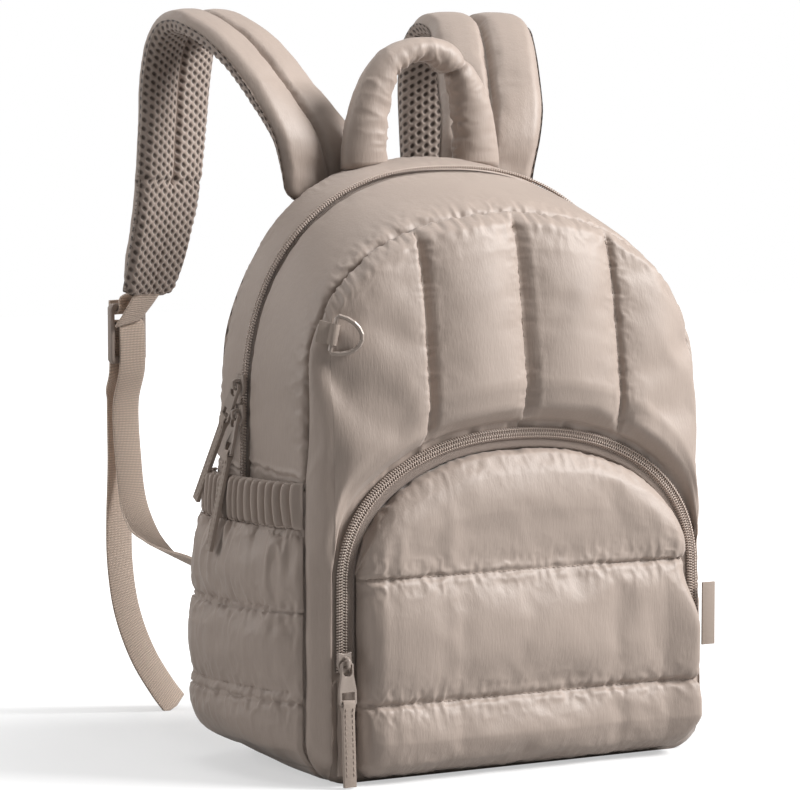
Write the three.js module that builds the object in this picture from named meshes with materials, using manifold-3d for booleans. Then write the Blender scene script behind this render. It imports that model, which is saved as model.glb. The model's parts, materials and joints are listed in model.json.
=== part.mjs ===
// A small quilted puffer backpack, in millimetres, +Z up. The origin is the middle of the bag's
// underside, the front faces -Y, and the main zip's two sliders are on the -X side.
import * as THREE from "three";
import { mergeVertices } from "three/addons/utils/BufferGeometryUtils.js";
import Module from "manifold-3d";

const wasm = await Module();
wasm.setup();

// Clearances between neighbours
const gap = 0.3; // faces that touch on the real bag
const seatGap = 0.6; // a piece laid on a curved, faceted neighbour
const foldGap = 1.6; // the pocket zip's outer edge to the fold over it

// Bag body
const bodyHalfWidth = 133; // at its foot
const bodyTaper = 6; // how much narrower each side is at the top
const bodyDepth = 116;
const frontSide = 216; // the straight side of the front's outline
const frontRise = 103; // the arch above it
const frontCorner = 25;
const frontLean = 8; // the front's top lies this far behind its foot
const backSide = 201;
const backRise = 146;
const backCorner = 40;
const backLean = 13;
const frontCurve = 2.3; // 2 is an ellipse, more is squarer
const backCurve = 2.4;
const wall = 3; // gusset cloth, lining and foam
const sideCrown = 4; // how far the gusset swells between its seams
const rim = 3; // a padded panel's thickness at its seam
const padding = 8; // and away from it

// Quilted front
const frontFullness = 18;
const channelPuff = 8;
const recess = 11; // the flat ground behind the front pocket

// Main zip
const mainZipPlane = 9; // behind the middle of the bag
const zipWidth = 12;
const coilWidth = 6.6;
const coilHeight = 1.8;
const tapeThickness = 1.4;
const zipDrop = 36; // the zip's ends below the back arch's start

// Front pocket
const pocketHalfWidth = 110;
const pocketSide = 112;
const pocketRise = 71;
const pocketCurve = 2.2;
const pocketShift = 3; // to the right of the middle
const pocketFoot = 4; // above the bag's underside
const pocketCorner = 20;
const pocketFullness = 11;
const pocketPuff = 6;
const pocketWall = 5;
const pocketZipFoot = 64;

// Side pockets
const sidePocketFoot = 10;
const elasticFoot = 143;
const elasticHeight = 26;
const elasticWall = 2;
const sidePocketFullness = 13;
const sidePocketPuff = 3;
const sidePocketWall = 4;
const pleatCount = 16;
const pleatDepth = 1.5;

// Carry handle
const handleSpread = 38; // half the distance between its legs
const handleRise = 67;
const handlePlane = 41; // behind the middle of the bag
const handleLeg = 15; // half thicknesses
const handleDepth = 10;
const handleSeat = 0.9; // its feet above the body's top

// Shoulder straps
const strapWidth = 63;
const strapSpread = 52; // from the middle of the bag to a strap's foot
const strapSplay = 41; // how far the top stands outside the foot
const strapReach = 132;
const strapRise = 106;
const strapDrop = 160;
const strapFoot = 25; // below the back's top
const strapPad = 9;
const meshThickness = 3;

// Webbing and ladder locks
const webbingWidth = 25;
const webbingThickness = 1.6;
const lockWidth = 34;
const lockHeight = 37;
const lockThickness = 3.6;
const lockBar = 4.5;
const lockDrop = 26; // from the pad's end to the lock's middle bar
const tailSeat = 0.6; // the free end above the floor

// D-ring
const ringWire = 1.4;
const ringHeight = 21;
const ringReach = 15;
const ringDroop = 12; // degrees that the tab leans down from level
const ringLevel = 252;
const ringInset = 12; // from the front's edge to the tab's eye
const tabHeight = 12;
const tabThickness = 2.2;
const eyeClearance = 0.35;
const tabSeat = 1.3;
const seamInset = 4; // from the front's edge to the tab's sewn end

// Sliders and pulls
const sliderLength = 12;
const sliderWidth = 9;
const plateThickness = 2.2;
const bridgeWidth = 1.8;
const bridgeRise = 5;
const pullThickness = 2;
const linkLength = 24;
const frontSliderLevel = 70;
const mainSliderLevel = 220;
const sliderSpacing = 17;

// Bare side label
const labelWidth = 9;
const labelHeight = 37;
const labelFoot = 62;
const labelThickness = 1.2;

const looks = {
  shell: { color: 0x94867a, roughness: 0.62, metalness: 0 },
  tape: { color: 0x8a7a6d, roughness: 0.8, metalness: 0 },
  mesh: { color: 0x8f8176, roughness: 0.9, metalness: 0 },
  webbing: { color: 0x97877a, roughness: 0.75, metalness: 0 },
  metal: { color: 0x8d8073, roughness: 0.4, metalness: 0.2 },
  plastic: { color: 0x8f8276, roughness: 0.45, metalness: 0 },
};

const { lerp, clamp, degToRad } = THREE.MathUtils;
const vec = (x, y, z) => new THREE.Vector3(x, y, z);
const range = (count) => Array.from({ length: count }, (_, i) => i / (count - 1));

const backpack = new THREE.Group();

function addPiece(name, geometry, look, parent = backpack) {
  const piece = new THREE.Mesh(geometry, new THREE.MeshStandardMaterial(look));
  piece.name = name;
  parent.add(piece);
  return piece;
}

// Reads a column of a table at a place along its first column, straight between two rows.
function readTable(rows, key, column, place) {
  if (place <= rows[0][key]) return rows[0][column];
  for (let i = 1; i < rows.length; i++) {
    const [low, high] = [rows[i - 1], rows[i]];
    if (place <= high[key]) {
      return lerp(low[column], high[column], (place - low[key]) / (high[key] - low[key]));
    }
  }
  return rows.at(-1)[column];
}

// The closed solid of these points and triangles, turned to face out.
function closedGeometry(points, faces) {
  let volume = 0;
  for (let i = 0; i < faces.length; i += 3) {
    const [a, b, c] = [points[faces[i]], points[faces[i + 1]], points[faces[i + 2]]];
    volume += a.dot(vec().crossVectors(b, c));
  }
  const geometry = new THREE.BufferGeometry().setFromPoints(points);
  geometry.setIndex(volume < 0 ? faces.toReversed() : faces);
  geometry.computeVertexNormals();
  return geometry;
}

// A sheet between two grids of points of one size, closed round its edge.
function sheet(outer, inner) {
  const rows = outer.length;
  const columns = outer[0].length;
  const points = [...outer.flat(), ...inner.flat()];
  const faces = [];
  const quad = (a, b, c, d) => faces.push(a, b, c, a, c, d);
  const at = (layer, i, j) => (layer * rows + i) * columns + j;
  for (let i = 0; i + 1 < rows; i++) {
    for (let j = 0; j + 1 < columns; j++) {
      quad(at(0, i, j), at(0, i, j + 1), at(0, i + 1, j + 1), at(0, i + 1, j));
      quad(at(1, i, j), at(1, i + 1, j), at(1, i + 1, j + 1), at(1, i, j + 1));
    }
  }
  const edge = [];
  for (let j = 0; j + 1 < columns; j++) edge.push([0, j]);
  for (let i = 0; i + 1 < rows; i++) edge.push([i, columns - 1]);
  for (let j = columns - 1; j > 0; j--) edge.push([rows - 1, j]);
  for (let i = rows - 1; i > 0; i--) edge.push([i, 0]);
  edge.forEach((a, k) => {
    const b = edge[(k + 1) % edge.length];
    quad(at(0, ...b), at(0, ...a), at(1, ...a), at(1, ...b));
  });
  return closedGeometry(points, faces);
}

// A bar through rings of points: a loop, or with both ends capped.
function bar(rings, loop = false) {
  const sides = rings[0].length;
  const faces = [];
  const joins = loop ? rings.length : rings.length - 1;
  for (let i = 0; i < joins; i++) {
    for (let j = 0; j < sides; j++) {
      const [a, b] = [i * sides + j, i * sides + ((j + 1) % sides)];
      const [c, d] = [a, b].map((k) => (k + sides) % (rings.length * sides));
      faces.push(a, b, d, a, d, c);
    }
  }
  if (!loop) {
    const last = (rings.length - 1) * sides;
    for (let j = 1; j + 1 < sides; j++) {
      faces.push(0, j + 1, j, last, last + j, last + j + 1);
    }
  }
  return closedGeometry(rings.flat(), faces);
}

function toSolid(geometry) {
  const bare = geometry.clone();
  bare.deleteAttribute("normal");
  bare.deleteAttribute("uv");
  const merged = mergeVertices(bare);
  return new wasm.Manifold(
    new wasm.Mesh({
      numProp: 3,
      vertProperties: merged.attributes.position.array,
      triVerts: merged.index.array,
    }),
  );
}

function joined(first, second) {
  const mesh = toSolid(first).add(toSolid(second)).getMesh();
  const geometry = new THREE.BufferGeometry();
  geometry.setAttribute("position", new THREE.BufferAttribute(mesh.vertProperties, 3));
  geometry.setIndex(new THREE.BufferAttribute(mesh.triVerts, 1));
  geometry.computeVertexNormals();
  return geometry;
}

// The two faces of the body: an upright outline with a round foot and an arch on top.
const frontFace = { side: frontSide, rise: frontRise, corner: frontCorner, curve: frontCurve };
const backFace = { side: backSide, rise: backRise, corner: backCorner, curve: backCurve };
const frontTop = frontSide + frontRise;
const backTop = backSide + backRise;
const zipEnd = Math.min(frontSide, backSide) - zipDrop;

// Every x of the body and of what is sewn to it narrows a little with height.
const narrow = (x, z) => x * (1 - (bodyTaper * z) / (backTop * bodyHalfWidth));

const frontY = (z) => -bodyDepth / 2 + (frontLean * z) / frontTop;
const backY = (z) => bodyDepth / 2 - (backLean * z) / backTop;
const archShare = (share, curve) => (1 - Math.min(1, Math.abs(share)) ** curve) ** (1 / curve);
const topAt = (face, x) => face.side + face.rise * archShare(x / bodyHalfWidth, face.curve);

function footAt(face, x) {
  const past = Math.abs(x) - (bodyHalfWidth - face.corner);
  return past <= 0 ? 0 : face.corner - Math.sqrt(Math.max(0, face.corner ** 2 - past ** 2));
}

// A point of a superelliptic arch, from 0 at its left end to 1 at its right end.
function archPoint(halfWidth, side, rise, curve, share) {
  const turn = Math.PI * share;
  const power = 2 / curve;
  const across = -Math.sign(Math.cos(turn)) * Math.abs(Math.cos(turn)) ** power;
  return new THREE.Vector2(halfWidth * across, side + rise * Math.max(0, Math.sin(turn)) ** power);
}

// The outline above the zip's ends, from the left side over the top.
const straightShare = 0.09;

function upperLine(face, share) {
  const mirrored = Math.min(share, 1 - share);
  if (mirrored < straightShare) {
    const z = lerp(zipEnd, face.side, mirrored / straightShare);
    return new THREE.Vector2(share < 0.5 ? -bodyHalfWidth : bodyHalfWidth, z);
  }
  const turn = (share - straightShare) / (1 - 2 * straightShare);
  return archPoint(bodyHalfWidth, face.side, face.rise, face.curve, turn);
}

// The outline below them, from the left side round the foot.
const legShares = [
  { share: 0, leg: 0 },
  { share: 0.25, leg: 1 },
  { share: 0.4, leg: 2 },
  { share: 0.5, leg: 3 },
];

function lowerLine(face, share) {
  const mirrored = Math.min(share, 1 - share);
  const leg = readTable(legShares, "share", "leg", mirrored);
  let [x, z] = [-bodyHalfWidth, lerp(zipEnd - gap, face.corner, leg)];
  if (mirrored < 0) z = zipEnd - gap - mirrored;
  else if (leg > 2) [x, z] = [-(bodyHalfWidth - face.corner) * (3 - leg), 0];
  else if (leg > 1) {
    const turn = (leg - 1) * (Math.PI / 2);
    x = -(bodyHalfWidth - face.corner) - face.corner * Math.cos(turn);
    z = face.corner * (1 - Math.sin(turn));
  }
  return new THREE.Vector2(share < 0.5 ? x : -x, z);
}

// A point of the gusset between the front outline (0) and the back one (1), set in by a depth.
function gussetPoint(line, share, across, depth = 0) {
  const step = 0.002;
  const middle = (at) => line(frontFace, at).lerp(line(backFace, at), across);
  const along = middle(share + step).sub(middle(share - step)).normalize();
  const turn = line === upperLine ? 1 : -1;
  const outward = new THREE.Vector2(-along.y * turn, along.x * turn);
  const lift = sideCrown * 4 * across * (1 - across) * Math.min(1, 1 + outward.y);
  const point = middle(share);
  const y = lerp(frontY(point.y), backY(point.y), across);
  point.addScaledVector(outward, lift - depth);
  return vec(narrow(point.x, point.y), y, point.y);
}

// How far across the gusset the plane of the main zip lies at a place on the upper outline.
function zipAcross(share, offset = 0) {
  const z = lerp(upperLine(frontFace, share).y, upperLine(backFace, share).y, 0.7);
  return (mainZipPlane + offset - frontY(z)) / (backY(z) - frontY(z));
}

function gussetBand(line, stations, edges, depth) {
  const grid = (inset) =>
    stations.map((share) =>
      range(edges.steps).map((k) => {
        const across = lerp(edges.from(share), edges.to(share), k);
        return gussetPoint(line, share, across, inset);
      }),
    );
  return sheet(grid(0), grid(depth));
}

const archStations = [
  0, 0.045, 0.09, 0.105, 0.13, 0.16, 0.19, 0.225, 0.265, 0.305, 0.345, 0.385, 0.425, 0.4625,
];
const upperStations = [...archStations, 0.5, ...archStations.map((share) => 1 - share).reverse()];
const footStations = [0, 0.06, 0.13, 0.19, 0.25, 0.2875, 0.325, 0.3625, 0.4, 0.45];
const lowerStations = [...footStations, 0.5, ...footStations.map((share) => 1 - share).reverse()];

function addBody() {
  const halfSlot = zipWidth / 2 + gap;
  const front = { from: () => 0, to: (share) => zipAcross(share, -halfSlot), steps: 5 };
  const rear = { from: (share) => zipAcross(share, halfSlot), to: () => 1, steps: 4 };
  const lower = { from: () => 0, to: () => 1, steps: 7 };
  addPiece("front_band", gussetBand(upperLine, upperStations, front, wall), looks.shell);
  addPiece("rear_band", gussetBand(upperLine, upperStations, rear, wall), looks.shell);
  addPiece("lower_band", gussetBand(lowerLine, lowerStations, lower, wall), looks.shell);
}

function addMainZip() {
  const section = [
    { across: -zipWidth / 2, height: 0 },
    { across: -coilWidth / 2, height: 0 },
    { across: -coilWidth / 2 + 1, height: coilHeight },
    { across: coilWidth / 2 - 1, height: coilHeight },
    { across: coilWidth / 2, height: 0 },
    { across: zipWidth / 2, height: 0 },
  ];
  const grid = (below) =>
    upperStations.map((share) =>
      section.map(({ across, height }) => {
        const depth = below ? tapeThickness : -height;
        return gussetPoint(upperLine, share, zipAcross(share, across), depth);
      }),
    );
  addPiece("main_zipper", sheet(grid(false), grid(true)), looks.tape);
}

// The fold round the pocket zip: outside this arch the front is quilted, inside it is flat.
const foldHalfWidth = pocketHalfWidth + gap + zipWidth + foldGap;
const foldRise = pocketRise + gap + zipWidth + foldGap;
const stripShare = 1.2; // how far the strip beside the pocket stands out, of the recess

function foldTop(x) {
  return pocketSide + foldRise * archShare((x - pocketShift) / foldHalfWidth, pocketCurve);
}

// Columns of the front, from its middle to its edge: across as a share of the fold's half width.
const frontColumns = [
  { across: 0, puff: 0, fullness: 1 },
  { across: 0.15, puff: 0.75, fullness: 1 },
  { across: 0.27, puff: 1, fullness: 1 },
  { across: 0.41, puff: 0.7, fullness: 1 },
  { across: 0.53, puff: 0, fullness: 1 },
  { across: 0.66, puff: 0.8, fullness: 0.92 },
  { across: 0.78, puff: 1, fullness: 0.78 },
  { across: 0.885, puff: 0.9, fullness: 0.6 },
  { across: 0.955, puff: 0.7, fullness: 0.46 },
  { across: 0.99, puff: 0.55, fullness: 0.4 },
  { across: 1, puff: 0.5, fullness: 0.38 },
];
const edgeColumns = [
  { beyond: 0.45, puff: 0.35, fullness: 0.3 },
  { beyond: 1, puff: 0, fullness: 0 },
];
// Rows of the front above the fold, as shares of the height from the fold to the top seam.
const frontRows = [
  { up: 0, puff: 0, fullness: 0 },
  { up: 0.06, puff: 0.6, fullness: 0.75 },
  { up: 0.2, puff: 0.95, fullness: 1 },
  { up: 0.42, puff: 1, fullness: 0.85 },
  { up: 0.64, puff: 1, fullness: 0.66 },
  { up: 0.82, puff: 0.95, fullness: 0.45 },
  { up: 0.94, puff: 0.65, fullness: 0.22 },
  { up: 1, puff: 0, fullness: 0 },
];
const groundRows = [0, 0.12, 0.55];

// One half of the front's columns, from the pocket's middle out to the seam.
function frontHalf(side) {
  const fold = foldHalfWidth + pocketShift * side;
  return [
    ...frontColumns.map((row) => ({ ...row, x: pocketShift + side * row.across * foldHalfWidth })),
    ...edgeColumns.map((row) => ({
      ...row,
      x: side * lerp(fold, bodyHalfWidth, row.beyond),
      past: true,
    })),
  ];
}

const frontLine = [...frontHalf(-1).slice(1).reverse(), ...frontHalf(1)];

// How far the quilted front stands off its seam plane.
function frontBulge(x, up) {
  const puff = readTable(frontLine, "x", "puff", x) * readTable(frontRows, "up", "puff", up);
  const full =
    readTable(frontLine, "x", "fullness", x) * readTable(frontRows, "up", "fullness", up);
  return frontFullness * full + channelPuff * puff;
}

function frontSurface(x, z) {
  const low = foldTop(x);
  const up = clamp((z - low) / (topAt(frontFace, x) - low), 0, 1);
  return frontY(z) - gap - rim - frontBulge(x, up);
}

function addFrontPanel() {
  const column = ({ x, fullness, past }) => {
    const [foot, low, top] = [footAt(frontFace, x), foldTop(x), topAt(frontFace, x)];
    const strip = past ? recess * stripShare * Math.min(1, fullness * 4) : 0;
    const below = groundRows.map((share) => ({
      z: lerp(foot, low, share),
      bulge: past ? strip * Math.min(1, share * 8) : recess - rim,
    }));
    const above = frontRows.map(({ up }) => {
      const bulge = past && up < 0.2 ? strip : Math.max(frontBulge(x, up), up < 0.03 ? recess - rim : 0);
      return { z: lerp(low, top, up), bulge };
    });
    return [...below, ...above].map((row) => ({ x, ...row }));
  };
  const columns = frontLine.map(column);
  const outer = columns.map((points) =>
    points.map(({ x, z, bulge }) => vec(narrow(x, z), frontY(z) - gap - rim - bulge, z)),
  );
  const inner = columns.map((points, i) =>
    points.map(({ x, z, bulge }, j) => {
      const edge = i === 0 || j === 0 || i === columns.length - 1 || j === points.length - 1;
      const depth = edge ? 0 : Math.max(0, bulge + rim - padding);
      return vec(narrow(x, z), frontY(z) - gap - depth, z);
    }),
  );
  addPiece("front_panel", sheet(outer, inner), looks.shell);
}

// Back panel, padded and plain
const backColumns = [
  { across: 0, fullness: 1 },
  { across: 0.3, fullness: 1 },
  { across: 0.55, fullness: 0.95 },
  { across: 0.76, fullness: 0.85 },
  { across: 0.9, fullness: 0.6 },
  { across: 0.97, fullness: 0.35 },
  { across: 1, fullness: 0 },
];
const backRows = [
  { up: 0, fullness: 0 },
  { up: 0.05, fullness: 0.55 },
  { up: 0.15, fullness: 0.95 },
  { up: 0.4, fullness: 1 },
  { up: 0.7, fullness: 0.95 },
  { up: 0.88, fullness: 0.6 },
  { up: 1, fullness: 0 },
];
const backFullness = padding - rim;

function backSurface(x, z) {
  const [foot, top] = [footAt(backFace, x), topAt(backFace, x)];
  const across = readTable(backColumns, "across", "fullness", Math.abs(x) / bodyHalfWidth);
  const up = readTable(backRows, "up", "fullness", clamp((z - foot) / (top - foot), 0, 1));
  return backY(z) + gap + rim + backFullness * across * up;
}

function addBackPanel() {
  const half = backColumns.map(({ across }) => across * bodyHalfWidth);
  const line = [...half.slice(1).reverse().map((x) => -x), ...half];
  const grid = (surface) =>
    line.map((x) =>
      backRows.map(({ up }) => {
        const z = lerp(footAt(backFace, x), topAt(backFace, x), up);
        return vec(narrow(x, z), surface(x, z), z);
      }),
    );
  addPiece("back_panel", sheet(grid(backSurface), grid((x, z) => backY(z) + gap)), looks.shell);
}

// The flat ground that the pocket and its zip are sewn to
const groundY = (z) => frontY(z) - gap - recess;

// Front pocket
const pocketColumns = [
  { across: 0, fullness: 1, puff: 1 },
  { across: 0.22, fullness: 1, puff: 1 },
  { across: 0.44, fullness: 0.98, puff: 1 },
  { across: 0.64, fullness: 0.94, puff: 1 },
  { across: 0.8, fullness: 0.86, puff: 0.9 },
  { across: 0.9, fullness: 0.7, puff: 0.7 },
  { across: 0.965, fullness: 0.42, puff: 0.4 },
  { across: 0.995, fullness: 0, puff: 0 },
];
// Rows of each of its three channels, and how full the whole pocket is at each channel's edges.
const channelRows = [
  { up: 0, puff: 0 },
  { up: 0.2, puff: 0.75 },
  { up: 0.5, puff: 1 },
  { up: 0.8, puff: 0.75 },
  { up: 1, puff: 0 },
];
const pocketSeams = [
  { of: 0, full: 0 },
  { of: 0.4, full: 0.95 },
  { of: 1.03, full: 0.9 },
];
const topFullness = [
  { up: 0, fullness: 0.9 },
  { up: 0.5, fullness: 0.8 },
  { up: 0.8, fullness: 0.5 },
  { up: 1, fullness: 0 },
];
const footFullness = [
  { up: 0, fullness: 0 },
  { up: 0.2, fullness: 0.6 },
  { up: 0.5, fullness: 0.9 },
  { up: 1, fullness: 0.95 },
];

function pocketColumn(x) {
  const past = Math.abs(x) - (pocketHalfWidth - pocketCorner);
  const round = past <= 0 ? 0 : pocketCorner - Math.sqrt(pocketCorner ** 2 - past ** 2);
  const foot = pocketFoot + round;
  const top = pocketSide + pocketRise * archShare(x / pocketHalfWidth, pocketCurve);
  const levels = [foot, pocketSide * pocketSeams[1].of, pocketSide * pocketSeams[2].of, top];
  const rows = [];
  levels.slice(0, 3).forEach((low, channel) => {
    channelRows.slice(channel ? 1 : 0).forEach(({ up, puff }) => {
      const fullness = [
        readTable(footFullness, "up", "fullness", up),
        lerp(0.95, 0.9, up),
        readTable(topFullness, "up", "fullness", up),
      ][channel];
      rows.push({ z: lerp(low, levels[channel + 1], up), puff, fullness });
    });
  });
  return rows;
}

function addFrontPocket() {
  const half = [...pocketColumns];
  const line = [
    ...half.slice(1).reverse().map((row) => ({ ...row, across: -row.across })),
    ...half,
  ];
  const grid = (inner) =>
    line.map((place, i) => {
      const x = place.across * pocketHalfWidth;
      const rows = pocketColumn(x);
      return rows.map(({ z, puff, fullness }, j) => {
        const edge = i === 0 || i === line.length - 1 || j === 0 || j === rows.length - 1;
        const bulge =
          rim + pocketFullness * place.fullness * fullness + pocketPuff * place.puff * puff;
        const shown = edge ? rim : bulge;
        const depth = inner ? (edge ? 0 : Math.max(0, shown - pocketWall)) : shown;
        return vec(narrow(x + pocketShift, z), groundY(z) - gap - depth, z);
      });
    });
  addPiece("front_pocket", sheet(grid(false), grid(true)), looks.shell);
}

// The pocket zip's stations: up the left side, over the arch and down the right side.
function pocketZipLine(offset) {
  const points = [];
  const side = pocketHalfWidth + offset;
  [0, 0.5].forEach((share) => points.push([-side, lerp(pocketZipFoot, pocketSide, share)]));
  const arch = (share) =>
    archPoint(pocketHalfWidth, pocketSide, pocketRise, pocketCurve, share);
  const shares = [0, 0.03, 0.07, 0.12, 0.17, 0.23, 0.29, 0.35, 0.4, 0.45];
  for (const share of [...shares, 0.5, ...shares.map((at) => 1 - at).reverse()]) {
    const before = arch(Math.max(0, share - 0.004));
    const after = arch(Math.min(1, share + 0.004));
    const along = after.sub(before).normalize();
    const point = arch(share);
    points.push([point.x - along.y * offset, point.y + along.x * offset]);
  }
  [0.5, 0].forEach((share) => points.push([side, lerp(pocketZipFoot, pocketSide, share)]));
  return points;
}

const pocketCoil = gap + zipWidth - coilWidth / 2;

function addPocketZip() {
  const section = [
    { out: seatGap, height: 0 },
    { out: pocketCoil - coilWidth / 2, height: 0 },
    { out: pocketCoil - coilWidth / 2 + 1, height: coilHeight },
    { out: pocketCoil + coilWidth / 2 - 1, height: coilHeight },
    { out: pocketCoil + coilWidth / 2, height: 0 },
  ];
  const lines = section.map(({ out }) => pocketZipLine(out));
  const grid = (below) =>
    lines[0].map((_, i) =>
      section.map(({ height }, k) => {
        const [x, z] = lines[k][i];
        const depth = below ? 0 : tapeThickness + height;
        return vec(narrow(x + pocketShift, z), groundY(z) - gap - depth, z);
      }),
    );
  addPiece("pocket_zipper", sheet(grid(false), grid(true)), looks.tape);
}

// Side pockets, on the gusset from seam to seam
const sideColumns = [
  { across: 0.01, fullness: 0 },
  { across: 0.06, fullness: 0.45 },
  { across: 0.2, fullness: 0.7 },
  { across: 0.4, fullness: 0.8 },
  { across: 0.6, fullness: 0.95 },
  { across: 0.8, fullness: 1 },
  { across: 0.94, fullness: 0.75 },
  { across: 0.99, fullness: 0 },
];
// Rows up to the elastic, as shares of the height between the pocket's foot and the elastic.
const sideRows = [
  { up: 0, puff: 0, fullness: 0 },
  { up: 0.07, puff: 0.7, fullness: 0.5 },
  { up: 0.18, puff: 1, fullness: 0.8 },
  { up: 0.32, puff: 0, fullness: 0.95 },
  { up: 0.42, puff: 0.9, fullness: 1 },
  { up: 0.56, puff: 0.9, fullness: 1 },
  { up: 0.67, puff: 0, fullness: 0.95 },
  { up: 0.78, puff: 1, fullness: 0.9 },
  { up: 0.92, puff: 0.8, fullness: 0.7 },
  { up: 1, puff: 0, fullness: 0.58 },
];

function widthAt(face, z) {
  const low = Math.max(0, face.corner - z);
  const corner = face.corner - Math.sqrt(Math.max(0, face.corner ** 2 - low ** 2));
  const high = clamp((z - face.side) / face.rise, 0, 1);
  return bodyHalfWidth * archShare(high, face.curve) - corner;
}

// The gusset's side, as its distance from the middle of the bag.
function sideSurface(across, z) {
  const crown = sideCrown * 4 * across * (1 - across);
  return lerp(widthAt(frontFace, z), widthAt(backFace, z), across) + crown;
}

const sideY = (across, z) => lerp(frontY(z), backY(z), across);

function addSidePocket(side, name) {
  const place = (across, z, out) =>
    vec(side * narrow(sideSurface(across, z) + out, z), sideY(across, z), z);
  const pocketTop = elasticFoot - gap;
  const grid = (inner) =>
    sideColumns.map(({ across, fullness }, i) =>
      sideRows.map((row, j) => {
        const seam = i === 0 || i === sideColumns.length - 1 || j === 0;
        const z = lerp(sidePocketFoot, pocketTop, row.up);
        const swell =
          sidePocketFullness * fullness * row.fullness + sidePocketPuff * fullness * row.puff;
        const out = seatGap + sidePocketWall / 2 + (seam ? 0 : sidePocketWall / 2 + swell);
        return place(across, z, inner ? (seam ? seatGap : out - sidePocketWall) : out);
      }),
    );
  addPiece(`side_pocket_${name}`, sheet(grid(false), grid(true)), looks.shell);

  const pleats = range(pleatCount * 2 + 1);
  const elasticRows = [
    { up: 0, fullness: 0.58, pleat: 0.6 },
    { up: 0.5, fullness: 0.52, pleat: 1 },
    { up: 1, fullness: 0.5, pleat: 0.8 },
  ];
  const elastic = (inner) =>
    pleats.map((share, i) =>
      elasticRows.map((row) => {
        const across = lerp(sideColumns[0].across, sideColumns.at(-1).across, share);
        const fullness = readTable(sideColumns, "across", "fullness", across);
        const z = elasticFoot + elasticHeight * row.up;
        const base = seatGap + sidePocketFullness * fullness * row.fullness;
        const fold = (i % 2 ? 1 : -1) * (pleatDepth / 2) * row.pleat;
        return place(across, z, inner ? base : base + elasticWall + fold);
      }),
    );
  addPiece(`side_elastic_${name}`, sheet(elastic(false), elastic(true)), looks.shell);
}

// The top of the body under a point, for what stands on it
function bodyTopAt(x, y) {
  const [front, back] = [topAt(frontFace, x), topAt(backFace, x)];
  const across = clamp((y - frontY(front)) / (backY(back) - frontY(front)), 0, 1);
  return lerp(front, back, across) + sideCrown * 4 * across * (1 - across);
}

// Sections of the handle, from its left foot (0) to its right foot (1)
const handleSections = [
  { along: 0, radial: 1, deep: 0.95 },
  { along: 0.12, radial: 0.86, deep: 1 },
  { along: 0.24, radial: 0.72, deep: 1 },
  { along: 0.34, radial: 0.6, deep: 0.95 },
  { along: 0.42, radial: 0.5, deep: 0.9 },
  { along: 0.5, radial: 0.5, deep: 0.92 },
  { along: 0.58, radial: 0.56, deep: 0.95 },
  { along: 0.64, radial: 0.6, deep: 0.98 },
  { along: 0.69, radial: 0.5, deep: 0.85 },
  { along: 0.74, radial: 0.66, deep: 1 },
  { along: 0.86, radial: 0.85, deep: 1 },
  { along: 1, radial: 1.05, deep: 0.95 },
];

function addHandle() {
  const foot = bodyTopAt(handleSpread, handlePlane);
  const sides = 12;
  const path = (share) => archPoint(handleSpread, foot, handleRise, 2.3, share);
  const shares = range(25);
  const rings = shares.map((share, i) => {
    const end = i === 0 || i === shares.length - 1;
    const middle = path(share);
    const along = end
      ? new THREE.Vector2(0, share < 0.5 ? 1 : -1)
      : path(share + 0.004).sub(path(share - 0.004)).normalize();
    const radial = handleLeg * readTable(handleSections, "along", "radial", share);
    const deep = handleDepth * readTable(handleSections, "along", "deep", share);
    return Array.from({ length: sides }, (_, k) => {
      const turn = (2 * Math.PI * k) / sides;
      const out = radial * Math.cos(turn);
      const x = middle.x - along.y * out;
      const y = handlePlane + deep * Math.sin(turn);
      return vec(x, y, end ? bodyTopAt(x, y) + handleSeat : middle.y + along.x * out);
    });
  });
  addPiece("carry_handle", bar(rings), looks.shell);
}

// The strap's middle line: splay and reach as shares, rise above its foot, drop below its top
const strapPath = [
  { splay: 0, reach: 0, rise: 0, drop: 0 },
  { splay: 0.07, reach: 0.02, rise: 0.16, drop: 0 },
  { splay: 0.2, reach: 0.05, rise: 0.34, drop: 0 },
  { splay: 0.36, reach: 0.12, rise: 0.48, drop: 0 },
  { splay: 0.5, reach: 0.21, rise: 0.61, drop: 0 },
  { splay: 0.63, reach: 0.3, rise: 0.74, drop: 0 },
  { splay: 0.8, reach: 0.42, rise: 0.875, drop: 0 },
  { splay: 0.97, reach: 0.553, rise: 0.964, drop: 0 },
  { splay: 1, reach: 0.644, rise: 0.99, drop: 0 },
  { splay: 1.04, reach: 0.742, rise: 1, drop: 0.02 },
  { splay: 1.06, reach: 0.833, rise: 1, drop: 0.09 },
  { splay: 1.08, reach: 0.886, rise: 1, drop: 0.23 },
  { splay: 1.1, reach: 0.9, rise: 1, drop: 0.37 },
  { splay: 1.13, reach: 0.91, rise: 1, drop: 0.53 },
  { splay: 1.17, reach: 0.92, rise: 1, drop: 0.68 },
  { splay: 1.24, reach: 0.95, rise: 1, drop: 0.83 },
  { splay: 1.34, reach: 1, rise: 1, drop: 1 },
];
const strapShape = [
  { along: 0, width: 1, thick: 0.35 },
  { along: 0.1, width: 1, thick: 0.8 },
  { along: 0.2, width: 1, thick: 1 },
  { along: 0.6, width: 1, thick: 1 },
  { along: 0.8, width: 0.93, thick: 1 },
  { along: 0.93, width: 0.84, thick: 0.95 },
  { along: 1, width: 0.72, thick: 0.5 },
];
const padSection = [
  { across: -1, height: 0.35 },
  { across: -0.8, height: 0.85 },
  { across: -0.4, height: 1 },
  { across: 0, height: 0.5 },
  { across: 0.4, height: 1 },
  { across: 0.8, height: 0.85 },
  { across: 1, height: 0.35 },
];
const strapHeading = Math.atan2(strapSplay, strapReach * 0.644);

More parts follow.
